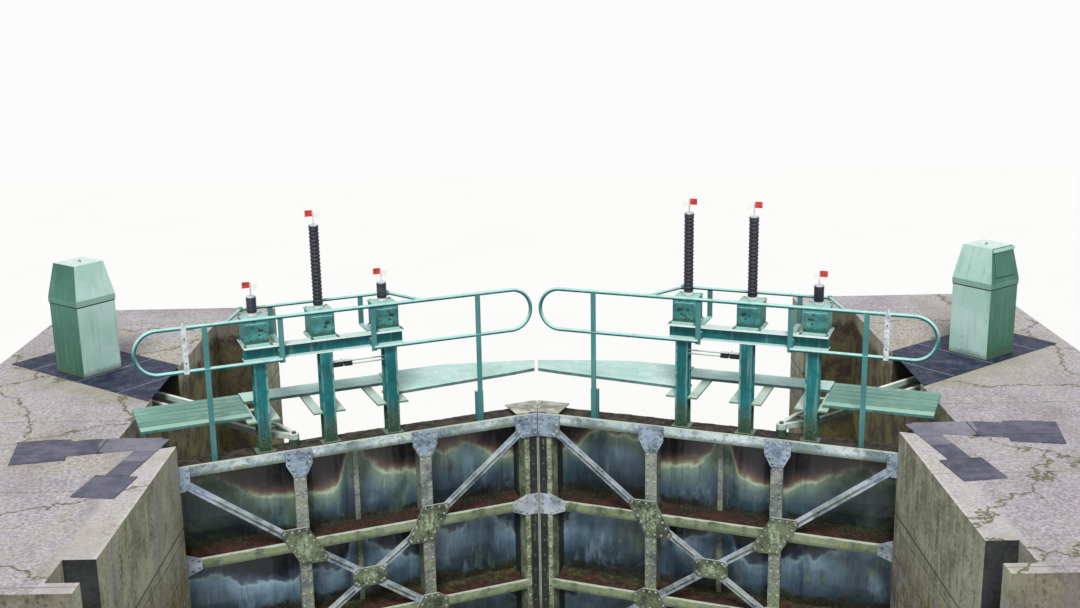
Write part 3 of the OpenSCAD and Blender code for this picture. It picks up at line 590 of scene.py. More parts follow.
def skin_steel():
    """Skin plates: each dished panel has an arched line along which a painted reflection of the
    dish runs. In the top row the steel is brown above the line, brightest next to it as painted
    reflection, with a thin lime line and a pale haze under it painted as the same reflection;
    lower down it is painted dark above the line as shadow and blue grey below, with a pale band
    of painted reflection on the line. Streaks run down, the top of each bay is painted dark as
    shade under its rail, and the foot is dark with moss."""
    p = Paint("skin_steel")
    u, _, z = leaf_axes(p)
    columns = [(0.17, 0.5), (0.6, 0.75), (1.1, 0.2), (1.49, 0.1), (1.72, 0), (2.0, 0.08),
               (2.13, 0.7), (2.19, 1), (2.27, 1), (2.33, 0.55), (2.5, 0.3), (2.97, 0.05),
               (3.2, 0.62), (3.7, 0.78), (4.23, 0.2)]
    arc_line_of = u.steps(4.5, columns)
    height = shares_of_rows(z, [r + 0.012 for r in RAILS[:0:-1]],
                            [r + 0.004 for r in RAILS[-2::-1]], 6)
    broad, medium, fine = p.noises((1.1, 4, 0.55), (4.5, 5, 0.6), (30.0, 5, 0.65))
    runs = p.streaks((7, 7, 1.3), 5, 0.6)
    smears = p.streaks((3.0, 3.0, 1.2), 4, 0.55, (5, 0, 1))
    thin_runs = p.streaks((34, 34, 1.8), 5, 0.65)
    bays = p.noise(0.9, 3, 0.5, p.stretched((1, 1, 0.5), (3, 1, 2)))
    top_row = z.ramp(4.84, 4.94)
    # the arc line's height in each bay; the painted reflection of the dish runs along it
    tide = arc_line_of * 0.5 + 0.42 + (medium - 0.5) * 0.22
    tide = tide + (bays - 0.5) * 0.5 + (1 - top_row) * (broad - 0.4)
    above = (height - tide) * 0.5 + 0.5
    # top row: brown steel above the line, a bright band on it painted as the dish's reflection, a
    # lime line with a pale haze under it
    bright = [(0.0, 24, 36, 44), (0.25, 42, 58, 70), (0.36, 62, 84, 98), (0.43, 90, 114, 114),
              (0.472, 120, 144, 128), (0.49, 176, 194, 168), (0.503, 134, 134, 112),
              (0.52, 108, 88, 78), (0.548, 72, 62, 60), (0.585, 46, 42, 46), (0.65, 30, 32, 38),
              (0.8, 24, 27, 33)]
    # lower rows: painted shadow above the line, blue grey steel below it, and a pale band on it
    # painted as the dish's reflection
    deep = [(0.0, 20, 32, 40), (0.25, 40, 58, 70), (0.4, 80, 106, 124), (0.47, 118, 148, 170),
            (0.495, 152, 180, 190), (0.515, 72, 92, 110), (0.56, 26, 34, 46), (0.8, 12, 16, 22)]
    colour = p.mix(top_row, above.colours(deep), above.colours(bright))
    under = above.ramp(0.505, 0.48)
    colour.coat((smears * 0.7 + runs * 0.3).ramp(0.48, 0.36) * 0.65, 20, 28, 34)
    colour.coat((smears * 0.6 + runs * 0.4).ramp(0.52, 0.64) * under * 0.7, 112, 138, 158)
    colour.coat(thin_runs.ramp(0.6, 0.74) * under * smears.ramp(0.42, 0.6) * 0.5, 176, 194, 196)
    colour.coat(thin_runs.ramp(0.44, 0.34) * 0.35, 22, 28, 30)
    greens = medium.tones(0.4, 0.6, (30, 42, 24), (98, 118, 82))
    colour.coat((broad * 0.6 + runs * 0.4).ramp(0.52, 0.6) * under * 0.5, greens)
    middle = abs(u - MID_U).ramp(0.12, 0.05) * height.ramp(0.3, 0.6)
    colour.coat(middle * top_row * 0.6, greens)
    outer = u.ramp(1.2, 0.75) * (z - 4.0).ramp(0.5, 0.9)
    colour.coat(outer * (medium * 0.7 + 0.3).least(1.0), 18, 30, 20)
    foot = (height * (top_row * 0.45 + 1.05) + medium * 0.6 + broad * 0.4).ramp(0.74, 0.56)
    dark = (medium * 0.4 + fine * 0.6).tones(0.42, 0.62, (9, 11, 8), (52, 56, 24))
    colour.coat(foot, dark)
    shade = height.ramp(0.86, 0.99)
    colour.coat(shade * (0.85 - top_row * 0.35), 18, 22, 24)
    soaked = wet(p)
    colour.coat(soaked * 0.6, medium.tones(0.4, 0.6, (22, 28, 26), (60, 62, 44)))
    upstream = p.axis("Y", p.normal).ramp(0.2, 0.5)
    algae = (medium * 0.5 + runs * 0.5).tones(0.4, 0.6, (34, 42, 36), (84, 92, 74))
    algae.coat(z.ramp(4.2, 4.9) * runs.ramp(0.45, 0.6) * 0.6, 128, 132, 122)
    colour.coat(upstream * 0.85, algae)
    rough = fine * 0.2 + 0.3 + foot * 0.4
    relief = (medium * 0.8 + fine * 0.4 * foot + thin_runs * 0.2, 0.5, 0.02)
    return p.surface(colour, rough, relief)


def gloss_paint(name, main, pale, under, wear, foot_z=None, extra=None, top_light=(0.1, 0.75)):
    """Old gloss paint on steel: faded patches, tops painted paler as a highlight over the range
    top_light of the normal's z, undersides painted darker as shade, chips down to rust and, near
    foot_z, splashed dirt; extra adds further places, some with a colour of their own and some with
    painted highlights."""
    p = Paint(name)
    broad, patch, fine = p.noises((2.2, 4, 0.55), (11.0, 6, 0.65), (60.0, 4, 0.6))
    up = p.axis("Z", p.normal)
    colour = p.mix((broad * 0.6 + patch * 0.4).ramp(0.38, 0.62), main, tint(*under))
    runs = p.streaks((20, 20, 1.4), 4, 0.6)
    colour.coat(runs.ramp(0.54, 0.72) * 0.16, *pale)
    if extra:
        colour = extra(p, colour)
    # painted highlight: upward faces paler
    colour.coat(up.ramp(*top_light) * (patch * 0.6 + 0.6).least(1.0), *pale)
    # painted shade: downward faces darker
    colour.coat(up.ramp(-0.3, -0.9) * 0.5, 10, 40, 44)
    chips = (patch * 0.75 + fine * 0.25 + wear).ramp(0.66, 0.69)
    colour.coat(chips, fine.tones(0.4, 0.6, (64, 52, 44), (120, 84, 60)))
    if foot_z:
        splash = (p.axis("Z") - patch * 0.35).ramp(foot_z + 0.28, foot_z - 0.1)
        colour.coat(splash * 0.75, fine.tones(0.4, 0.6, (28, 36, 24), (84, 96, 52)))
    dark_spots = (patch * 0.5 + fine * 0.5).ramp(0.43, 0.36)
    colour.coat(dark_spots * 0.45, 14, 62, 62)
    rough = patch * 0.25 + 0.32 + chips * 0.35
    relief = (fine * 0.25 - chips * 0.6 + patch * 0.3, 0.35, 0.004)
    return p.surface(colour, rough, relief, specular=0.3)


def clip_and_posts(p, colour):
    """The flat bar and its knob near the heel stay galvanised."""
    u, v, z = leaf_axes(p)
    bar = abs(u - BAR_U).ramp(0.034, 0.03) * abs(v - 0.118).ramp(0.09, 0.05)
    bar = bar * (z - DECK).ramp(0.69, 0.7)
    outside = v.ramp(0.121, 0.119).most((z - DECK).ramp(1.266, 1.274))
    zinc = p.noise(22.0, 4, 0.6).tones(0.4, 0.6, (160, 164, 176), (206, 210, 218))
    return p.mix(bar * outside, colour, zinc)


def pale_edges(p, colour):
    """Flange edges of the posts and the beam, painted pale as highlights."""
    u, v, z = leaf_axes(p)
    rims = ((-0.077, 0), (-0.068, 1), (-0.058, 0), (0.058, 0), (0.068, 1), (0.077, 0))
    edges = u.steps(4, [(0.0, 0)] + [(g + off, value) for g in GEARS for off, value in rims])
    post = edges * (z - DECK).ramp(0.755, 0.74)
    highlight_breakup = p.noise(9.0, 5, 0.65).ramp(0.36, 0.56)
    # painted highlight along the flange edges of the posts
    colour.coat(post * highlight_breakup * 0.85, 168, 214, 196)
    flange = (z - DECK).ramp(0.898, 0.901).most(abs(z - DECK - 0.765).ramp(0.008, 0.004))
    # painted highlight on the beam's flanges
    colour.coat(flange * 0.95, 226, 242, 240)
    oil = u.ramp(2.0, 2.002) * u.ramp(2.592, 2.59) * abs(z - OIL_Z - 0.012).ramp(0.06, 0.055)
    oil = oil * abs(v - 0.27).ramp(0.04, 0.035)
    valve = abs(u - 2.115).ramp(0.12, 0.118)
    metal = p.mix(valve, tint(150, 158, 150), tint(22, 24, 30))
    metal.coat((z - OIL_Z).ramp(0.024, 0.031) * valve, 206, 208, 206)
    return p.mix(oil, colour, metal)


def base_plates(p, colour):
    """The plates under the gear boxes are a chalky white green, and the box feet are mossy."""
    z = p.axis("Z") - COPING
    patch = p.noise(15.0, 5, 0.66)
    foot = (z - patch * 0.12).ramp(0.955, 0.9) * z.ramp(0.93, 0.94)
    colour.coat(foot * 0.8, 44, 84, 66)
    specks = p.noise(20.0, 5, 0.65).ramp(0.57, 0.62) * z.ramp(0.94, 0.95)
    colour.coat(specks * 0.75, 14, 44, 46)
    colour.coat(z.ramp(0.9345, 0.931) * (patch * 0.4 + 0.75).least(1.0), 226, 242, 240)
    return colour


def cabinet_paint():
    """Satin sage green sheet steel with painted light and shade: pale on the faces towards the
    lock, darker on the outer ones and darker still towards their bottom, with a darker hood rim,
    dirt runs and a top painted pale as light from above."""
    p = Paint("cabinet_paint")
    broad, patch, fine = p.noises((2.0, 4, 0.5), (9.0, 6, 0.65), (80.0, 3, 0.55))
    up = p.axis("Z", p.normal)
    x = p.axis("X")
    mirror = p.sum_of(x, "SIGN")
    # painted light and shade: faces towards the lock take the light tints, the outer faces the dark
    # ones
    outward = (p.axis("X", p.normal) * mirror).ramp(0.1, 0.4)
    z = p.axis("Z") - COPING - 0.008
    light = broad.tones(0.35, 0.65, (174, 214, 202), (196, 228, 220))
    dark = broad.tones(0.35, 0.65, (34, 92, 76), (52, 108, 92))
    # the outer faces darker still towards the bottom
    dark.coat((z + patch * 0.4).ramp(0.75, 0.1) * 0.7, 46, 84, 62)
    colour = p.mix(outward, light, dark)
    rim = z.ramp(0.921, 0.923) * z.ramp(0.993, 0.989)
    colour.coat(rim * 0.5, 78, 132, 112)
    runs = p.streaks((14, 14, 1.1), 5, 0.6)
    colour.coat(runs.ramp(0.52, 0.7) * 0.3, 112, 150, 132)
    colour.coat(patch.ramp(0.6, 0.72) * 0.35, 116, 152, 134)
    # painted highlight: upward faces pale, as lit from above
    colour.coat(up.ramp(0.5, 0.9) * 0.85, patch.tones(0.4, 0.6, (196, 218, 212), (222, 234, 230)))
    low = (z - patch * 0.14).ramp(0.03, -0.06)
    colour.coat(low * 0.7, 88, 96, 70)
    marks = p.noise(6.0, 8, 0.8).ramp(0.69, 0.71)
    colour.coat(marks * 0.5, 84, 104, 88)
    return p.surface(colour, patch * 0.2 + 0.38, (broad * 0.5 + fine * 0.2, 0.2, 0.004))


def pit_axes(p):
    """Places along and across the machine pits, the same on both sides."""
    across = abs(p.axis("X")) - abs(PIN_WORLD[0])
    along = p.axis("Y") - PIN_WORLD[1]
    s = along * math.sin(PIT_TURN) - across * math.cos(PIT_TURN)
    t = along * math.cos(PIT_TURN) + across * math.sin(PIT_TURN)
    return s, t


def tread(p, s, t):
    """Two sets of short raised bars laid at right angles, one bar in each square cell; the cells
    stand on their corners in s and t."""
    x, y = (s + t) * BARS_PER_METRE, (s - t) * BARS_PER_METRE
    odd = p.sum_of(p.sum_of(x, "FLOOR") + p.sum_of(y, "FLOOR"), "PINGPONG", 1.0)
    a = abs(p.sum_of(x, "FRACT") - 0.5)
    b = abs(p.sum_of(y, "FRACT") - 0.5)
    first = a.ramp(0.46, 0.4) * b.ramp(0.15, 0.09)
    second = b.ramp(0.46, 0.4) * a.ramp(0.15, 0.09)
    return first * (1 - odd) + second * odd


def tread_steel(p, axes, dark, light, seams, shade):
    """Tread plate in two tones with worn bars, dusty hollows, rust and seams of one shade."""
    bars = tread(p, *axes)
    broad, patch, fine = p.noises((1.6, 5, 0.6), (7.0, 6, 0.65), (70.0, 3, 0.6))
    colour = p.mix((broad * 0.5 + patch * 0.5).ramp(0.35, 0.65), dark, light)
    colour.coat(bars * patch.ramp(0.3, 0.6) * 0.5, 104, 110, 132)
    colour.coat((fine * 0.6 + patch * 0.4).ramp(0.54, 0.62) * 0.4, 140, 138, 148)
    colour.coat((patch * 0.6 + broad * 0.4).ramp(0.56, 0.68) * 0.35, 116, 114, 118)
    colour.coat((patch + fine * 0.2).ramp(0.7, 0.78) * 0.5, 104, 76, 62)
    colour.coat(seams * 0.9, *shade)
    relief = (bars + fine * 0.1 - seams, 0.8, 0.004)
    return p.surface(colour, 0.66 - bars * 0.18, relief, specular=0.15)


def chequer_plate(name):
    """Dark tread plates over the machine pits, with pale seams across the pit."""
    p = Paint(name)
    s, t = pit_axes(p)
    seams = reduce(Tone.most, [abs(s - place).ramp(0.007, 0.004) for place in PLATE_SEAMS])
    return tread_steel(p, (s, t), tint(22, 30, 52), tint(44, 54, 80), seams, (170, 172, 186))


def cover_steel():
    """Tread plates over the anchor bars: slate grey, paler over the hinge, with dark joints."""
    p = Paint("cover_steel")
    x, y = abs(p.axis("X")), p.axis("Y")
    joint = abs(p.sum_of((y - HINGE_Y + 0.34) / 0.68, "FRACT") - 0.5).ramp(0.488, 0.494)
    joint = joint.most(abs(x - HEEL_X - 0.55).ramp(0.009, 0.005))
    across, along = x - HEEL_X, y - HINGE_Y
    near = p.sum_of(across * across + along * along, "SQRT").ramp(0.62, 0.6)
    dark = p.mix(near * 0.75, tint(74, 74, 90), tint(124, 124, 138))
    light = p.mix(near * 0.75, tint(112, 110, 126), tint(162, 160, 170))
    return tread_steel(p, (x, y), dark, light, joint, (46, 44, 50))


def smear_of(p):
    """Broad vertical smears."""
    return p.streaks((3.0, 3.0, 0.7), 4, 0.6, (2, 5, 0))


def masonry(name, course, block_l, smooth_top):
    """Old concrete and stone: pinkish grey slabs on top with pale worn edges and mossy cracks, a
    smooth cast band under the coping with a painted shadow line at its lower edge, then courses
    with mortar joints; soft rain streaks, moss and slime low down. Faces turned downstream are
    painted darker as shade."""
    p = Paint(name)
    x, y, z = p.axis("X"), p.axis("Y"), p.axis("Z")
    up = p.axis("Z", p.normal)
    side_x = abs(p.axis("X", p.normal)).ramp(0.5, 0.6)
    on_side, on_top = up.ramp(0.6, 0.4), up.ramp(0.6, 0.8)
    broad, patch, fine, grain = p.noises(
        (0.7, 5, 0.6), (3.4, 7, 0.68), (26.0, 6, 0.7), (110.0, 3, 0.7))
    depth = COPING - z + patch * 0.012
    cast = depth.ramp(smooth_top + 0.01, smooth_top)
    along = y * side_x + x * (1 - side_x) + fine * 0.006
    row = p.sum_of(depth / course, "FLOOR")
    shift = p.sum_of(row * 0.37, "FRACT") * block_l
    across = p.sum_of((along + shift) / block_l, "FRACT")
    tall = p.sum_of(depth / course, "FRACT")
    joint = abs(across - 0.5).ramp(0.5 - 0.009 / block_l, 0.5 - 0.002 / block_l)
    bed = abs(tall - 0.5).ramp(0.5 - 0.009 / course, 0.5 - 0.002 / course)
    # painted shadow line along the lower edge of the cast band, darkened together with the joints
    lip = abs(depth - smooth_top).ramp(0.02, 0.006)
    slab_y = p.sum_of((y + 0.35) / 2.1 + fine * 0.002, "FRACT")
    slab = abs(slab_y - 0.5).ramp(0.4955, 0.499) * on_top
    seams = (joint.most(bed) * (1 - cast)).most(lip) * on_side * abs(x).ramp(4.15, 4.0).most(on_top)
    cell = p.node("ShaderNodeCombineXYZ", {},
                  {0: p.sum_of((along + shift) / block_l, "FLOOR"), 1: row})
    each = p.node("ShaderNodeTexWhiteNoise", {"noise_dimensions": "2D"}, {"Vector": cell}, "Value")
    side = (broad * 0.4 + patch * 0.6).tones(0.38, 0.62, (138, 140, 114), (196, 196, 170))
    side.coat(each * (1 - cast) * 0.4, 104, 98, 82)
    runs = p.streaks((9.0, 9.0, 1.2), 6, 0.65)
    hair = p.streaks((40.0, 40.0, 3.0), 5, 0.6)
    ooze = (broad * 0.6 + patch * 0.4).ramp(0.44, 0.56)
    side.coat(runs.ramp(0.5, 0.62) * ooze * 0.7, 92, 100, 48)
    side.coat((runs * 0.6 + fine * 0.4).ramp(0.52, 0.6) * 0.6, 218, 216, 200)
    side.coat((runs * 0.5 + fine * 0.5).ramp(0.47, 0.4) * 0.65, 66, 68, 44)
    side.coat((fine * 0.6 + grain * 0.4).ramp(0.52, 0.64) * 0.45, 222, 220, 206)
    side.coat((broad * 0.5 + smear_of(p) * 0.5).ramp(0.5, 0.6) * 0.5, 164, 158, 164)
    tide = (z + patch * 1.0 + runs * 1.3).ramp(6.95, 6.35)
    moss = (fine * 0.6 + runs * 0.4).tones(0.42, 0.6, (64, 76, 24), (142, 152, 62))
    rot = (runs * 0.6 + fine * 0.4).tones(0.42, 0.6, (46, 32, 26), (134, 98, 66))
    cold = hair.tones(0.42, 0.6, (40, 42, 48), (150, 150, 164))
    side.coat(tide * (hair * 0.4 + smear_of(p) * 0.6).ramp(0.56, 0.62) * 0.8, 214, 210, 200)
    side.coat(tide * (patch * 0.5 + runs * 0.5).ramp(0.44, 0.54) * 0.85, rot)
    side.coat(tide * (patch * 0.7 + fine * 0.3).ramp(0.5, 0.58) * 0.9, moss)
    side.coat(tide * (smear_of(p) + hair * 0.2).ramp(0.68, 0.76) * 0.6, cold)
    recess = abs(x).ramp(4.0, 4.15) * abs(x).ramp(4.7, 4.6) * (y - HINGE_Y).ramp(-0.3, 0.1)
    recess = recess * (y - RECESS_END).ramp(0.01, 0.0)
    growth = (patch * 0.4 + grain * 0.6).tones(0.42, 0.6, (52, 52, 26), (150, 148, 88))
    bare = patch.tones(0.4, 0.6, (70, 60, 44), (132, 120, 96))
    grown = (patch * 0.5 + fine * 0.5 - (z - 5.4) * 0.06).ramp(0.42, 0.54)
    side.coat(recess * (z + patch * 0.5).ramp(6.95, 6.75), p.mix(grown, bare, growth))
    slime = (z + patch * 0.9).ramp(4.7, 3.7)
    side.coat(slime * 0.8, patch.tones(0.4, 0.6, (46, 44, 30), (88, 82, 56)))
    slot = abs(y - GROOVE_BACK).ramp(0.02, 0.01) * p.axis("Y", p.normal).ramp(-0.5, -0.8)
    slot = slot * abs(x).ramp(4.22, 4.2)
    side.coat(slot, (patch * 0.6 + fine * 0.4).tones(0.4, 0.6, (40, 46, 50), (84, 92, 94)))
    # painted shade: faces turned downstream (normal -Y) are multiplied darker
    shaded_front = p.axis("Y", p.normal).ramp(-0.4, -0.8)
    side = p.mix(shaded_front * 0.95, side, tint(152, 146, 146), "MULTIPLY")
    flat = (broad * 0.5 + patch * 0.5).tones(0.36, 0.64, (158, 152, 156), (194, 188, 194))
    zone = p.noise(0.45, 3, 0.5, p.stretched((1, 1, 1), (7, 3, 0)))
    flat.coat(zone.ramp(0.5, 0.62) * 0.7, 176, 170, 152)
    flat.coat(zone.ramp(0.47, 0.36) * 0.6, 150, 142, 146)
    specks = fine * 0.5 + grain * 0.5
    flat.coat(specks.ramp(0.5, 0.6) * 0.75, 226, 222, 226)
    flat.coat(specks.ramp(0.49, 0.4) * 0.75, 104, 98, 104)
    flat.coat(p.noise(9.0, 5, 0.7).ramp(0.6, 0.68) * 0.45, 118, 110, 108)
    stains = p.streaks((1.3, 0.4, 1.0), 5, 0.6)
    flat.coat(stains.ramp(0.52, 0.66) * 0.4, 140, 132, 134)
    edge = abs(abs(x) - INNER_FACE)
    worn = edge.ramp(0.06, 0.02).most(edge.ramp(0.4, 0.3) * 0.6) * (patch + 0.4).least(1.0)
    flat.coat(worn * 0.65, 224, 219, 214)
    s, t = pit_axes(p)
    by_pit = (abs(s - 3.2).most(1.0) + abs(t - 0.1) + patch * 1.2).ramp(2.7, 2.0)
    green = (patch * 0.5 + broad * 0.5).ramp(0.5, 0.58) * 0.3
    flat.coat(green.most(by_pit * fine.ramp(0.3, 0.6) * 0.6), 148, 146, 104)
    pitted = (patch * 0.6 + zone * 0.4).ramp(0.5, 0.58) * specks.ramp(0.5, 0.42)
    flat.coat(pitted * 0.6, 72, 66, 66)
    mud = (patch * 0.6 + fine * 0.4).tones(0.4, 0.6, (70, 68, 48), (122, 116, 88))
    flat.coat((z + patch * 0.5).ramp(4.2, 3.2) * 0.85, mud)
    stone = p.mix(on_top, side, flat)
    wander = p.node("ShaderNodeVectorMath", {"operation": "ADD"},
                    {0: p.place, 1: p.noise(1.2, 5, 0.7, out=1)})
    cracks = p.cells(0.45, wander, "DISTANCE_TO_EDGE")
    crack = cracks.ramp(0.012, 0.004) * on_top * patch.ramp(0.3, 0.45)
    colour = p.mix(seams * 0.7, stone, tint(60, 56, 48))
    colour.coat(slab * 0.6, 96, 92, 70)
    colour.coat(crack * 0.85, fine.tones(0.4, 0.6, (78, 76, 50), (110, 116, 60)))
    height = fine * 0.5 + grain * 0.2 + patch * 0.6 - seams * 1.2 - crack * 0.8 - slab * 0.8
    return p.surface(colour, fine * 0.15 + 0.78, (height, 0.6, 0.02))


def bellows_rubber(name):
    """Dusty black rubber; the upward faces of its pleats are paler, partly dusty and partly a
    painted highlight.
    """
    p = Paint(name)
    patch, dust_and_sheen = p.noises((24.0, 4, 0.6), (5.0, 4, 0.6))
    up = p.axis("Z", p.normal)
    colour = patch.tones(0.35, 0.65, (16, 19, 29), (32, 38, 54))
    # upward faces paler: dusty patches mixed with a painted highlight
    colour.coat(up.ramp(0.1, 0.8) * dust_and_sheen.ramp(0.3, 0.7) * 0.6, 92, 98, 110)
    return p.surface(colour, patch * 0.2 + 0.45, (patch, 0.2, 0.002))


def plain_metal(name, dark, light, metal, rough):
    """Bare or galvanised steel with a mottled skin and rust freckles."""
    p = Paint(name)
    patch, fine = p.noises((16.0, 5, 0.62), (90.0, 3, 0.6))
    colour = (patch * 0.6 + fine * 0.4).tones(0.36, 0.64, dark, light)
    freckle = (patch * 0.6 + fine * 0.4).ramp(0.66, 0.7)
    colour.coat(freckle * 0.8, 104, 70, 50)
    return p.surface(colour, patch * 0.25 + rough, (patch * 0.4 + fine * 0.3, 0.3, 0.003),
                     metal=metal)


def walkway_boards_paint():
    """Painted walkway: green boards with grain and seams at the heel, one pale chalky plate from
    there to the tip, both scuffed and speckled; the side faces of all of them are painted dark
    teal as shade."""
    p = Paint("walkway_boards_paint")
    u, v, z = leaf_axes(p)
    up = p.axis("Z", p.normal)
    line = p.node("ShaderNodeCombineXYZ", {}, {0: u * 1.2, 1: v * 46.0, 2: z * 30.0})
    grain = p.noise(1.0, 6, 0.6, line)
    broad, patch, fine = p.noises((1.6, 5, 0.6), (8.0, 6, 0.68), (45.0, 4, 0.65))
    board = p.sum_of(v / 0.142, "FLOOR")
    own = p.node("ShaderNodeTexWhiteNoise", {"noise_dimensions": "1D"}, {"W": board + 0.5}, "Value")
    wood = p.mix(own * 0.6 + broad * 0.3, tint(94, 140, 128), tint(134, 178, 164))
    wood.coat((broad * 0.5 + patch * 0.5).ramp(0.5, 0.62) * 0.5, 178, 204, 184)
    wood.coat(grain.ramp(0.48, 0.6) * 0.6, 66, 110, 98)
    bare = (patch * 0.7 + grain * 0.3).ramp(0.62, 0.7)
    wood.coat(bare * 0.6, 146, 148, 132)
    lines = abs(p.sum_of((v - 0.31) / 0.14, "FRACT") - 0.5).ramp(0.44, 0.48)
    wood.coat(lines * 0.85, 40, 78, 68)
    wood.coat(v.ramp(0.45, 0.42) * 0.6, 170, 212, 190)
    plate = (broad * 0.4 + patch * 0.6).tones(0.38, 0.62, (176, 220, 210), (220, 242, 236))
    plate.coat((fine * 0.7 + patch * 0.3).ramp(0.5, 0.6) * 0.5, 118, 166, 156)
    plate.coat(fine.ramp(0.58, 0.68) * 0.7, 236, 244, 240)
    colour = p.mix(u.ramp(1.064, 1.066), wood, plate)
    colour.coat((patch + broad * 0.2).ramp(0.36, 0.26) * 0.5, 76, 100, 88)
    # painted shade: the side faces of the boards and the plate go dark teal
    colour.coat(up.ramp(0.4, 0.1) * 0.85, patch.tones(0.4, 0.6, (14, 62, 66), (48, 108, 104)))
    return p.surface(colour, grain * 0.2 + 0.55, (grain * 0.6 + patch * 0.3, 0.4, 0.004))


def paddle_paint(name, up):
    """Galvanised paddle and screw; over the bellows cap the rod is pale, the vane towards the
    heel is red and the other one white."""
    p = Paint(name)
    u, _, z = leaf_axes(p)
    patch, fine = p.noises((16.0, 5, 0.62), (90.0, 3, 0.6))
    steel = (patch * 0.6 + fine * 0.4).tones(0.36, 0.64, (84, 86, 84), (150, 152, 150))
    steel.coat((patch * 0.6 + fine * 0.4).ramp(0.6, 0.68) * 0.7, 100, 72, 54)
    cap = NECK_Z - LEAF_Z + LOW + up * LIFT
    pale = patch.tones(0.4, 0.6, (176, 182, 188), (222, 226, 228))
    to_heel = reduce(Tone.least, [abs(u - place + 0.049) for place in GEARS])
    red = patch.tones(0.4, 0.6, (168, 34, 30), (206, 62, 50))
    over = p.mix(to_heel.ramp(0.0412, 0.0408) * (z - cap).ramp(0.104, 0.105), pale, red)
    to_tip = reduce(Tone.least, [abs(u - place - 0.042) for place in GEARS])
    over.coat(to_tip.ramp(0.0342, 0.0338) * (z - cap).ramp(0.079, 0.08), 232, 234, 232)
    colour = p.mix((z - cap).ramp(-0.001, 0.0), steel, over)
    return p.surface(colour, patch * 0.25 + 0.4, (patch * 0.4 + fine * 0.3, 0.3, 0.003))


def silt():
    """Dried mud, moss and grit that lies on the level webs."""
    p = Paint("silt")
    _, v, z = leaf_axes(p)
    broad, patch, fine = p.noises((2.6, 5, 0.6), (11.0, 6, 0.7), (60.0, 5, 0.7))
    colour = (patch * 0.6 + fine * 0.4).tones(0.38, 0.62, (22, 12, 10), (82, 44, 32))
    growth = (broad * 0.5 + patch * 0.4 + v * 0.55 - z.ramp(5.4, 5.6) * 0.2).ramp(0.56, 0.66)
    bright = z.tones(4.2, 3.8, (50, 50, 26), (84, 92, 38))
    moss = p.mix((fine * 0.6 + patch * 0.4).ramp(0.42, 0.64), tint(12, 14, 9), bright)
    colour.coat(growth * 0.9, moss)
    colour.coat(z.ramp(5.5, 5.7) * 0.75, patch.tones(0.4, 0.6, (22, 26, 26), (70, 74, 66)))
    colour.coat((patch * 0.4 + fine * 0.6).ramp(0.56, 0.62) * 0.6, 118, 76, 50)
    grit = p.cells(30.0).ramp(0.2, 0.1) * broad.ramp(0.42, 0.58)
    colour.coat(grit * 0.8, 178, 168, 150)
    return p.surface(colour, 0.9, (patch * 0.8 + fine * 0.8 + grit, 0.9, 0.015))


# ---------------------------------------------------------------- pieces of the leaves

PLATES = {
    "joint": [(-0.27, 0.17), (-0.24, 0.225), (0.05, 0.225), (0.27, -0.17), (0.24, -0.225),
              (-0.05, -0.225)],
    "cross": [(-0.15, 0.115), (-0.2, 0.075), (-0.2, -0.075), (-0.15, -0.115),
              (0.15, -0.115), (0.2, -0.075), (0.2, 0.075), (0.15, 0.115)],
    "apex": [(-0.23, 0), (-0.23, 0.09), (-0.09, 0.19), (0.09, 0.19), (0.09, -0.19), (-0.09, -0.19),
             (-0.23, -0.09)],
    "foot": [(-0.2, -0.14), (-0.2, -0.04), (-0.09, 0.14), (0.09, 0.14), (0.21, 0.06), (0.21, -0.06),
             (0.09, -0.14)],
    "tee": [(-0.15, 0.062), (0.15, 0.062), (0.15, -0.11), (0.072, -0.26), (-0.072, -0.26),
            (-0.15, -0.11)],
    "corner": [(0.015, 0.062), (0.285, 0.062), (0.285, -0.15), (0.225, -0.215), (0.015, -0.215)],
    "end": [(0.015, 0.13), (0.17, 0.13), (0.34, 0.062), (0.34, -0.062), (0.17, -0.13),
            (0.015, -0.13)],
    "knee": [(0.015, 0.21), (0.2, 0.21), (0.39, 0.062), (0.39, -0.062), (0.2, -0.21),
             (0.015, -0.21)],
}


def plate_places():
    """Each gusset of a leaf: its outline's name, its place in u and z, the v of its face and
    whether it is turned over."""
    rows = [("cross", CENTRE, PLATE_V, False)]
    for over in (False, True):
        near = UPRIGHTS[1] if over else UPRIGHTS[0]
        post = LEAF_L if over else 0
        rows += [
            ("joint", (near, RAILS[1]), PLATE_V, over),
            ("foot", (near, RAILS[2]), PLATE_V, not over),
            ("apex", (near, RAILS[4]), PLATE_V, over), ("tee", (near, RAILS[0]), TEE_V, over),
            ("corner", (post, RAILS[0]), PLATE_V, over), ("end", (post, RAILS[1]), STRAP_V, over),
            ("knee", (post, RAILS[3]), PLATE_V, over), ("end", (post, RAILS[5]), PLATE_V, over),
        ]
    return rows


def placed(points, at, over):
    """Points of a gusset's drawing, in u and z of the leaf."""
    return points * (-1 if over else 1, 1) + at


def anticlockwise(outline):
    """The outline's points, turned round where its signed area is negative."""
    points = np.array(outline, float)
    x, y = points.T
    area = np.sum(x * np.roll(y, -1) - np.roll(x, -1) * y)
    return points if area > 0 else points[::-1]


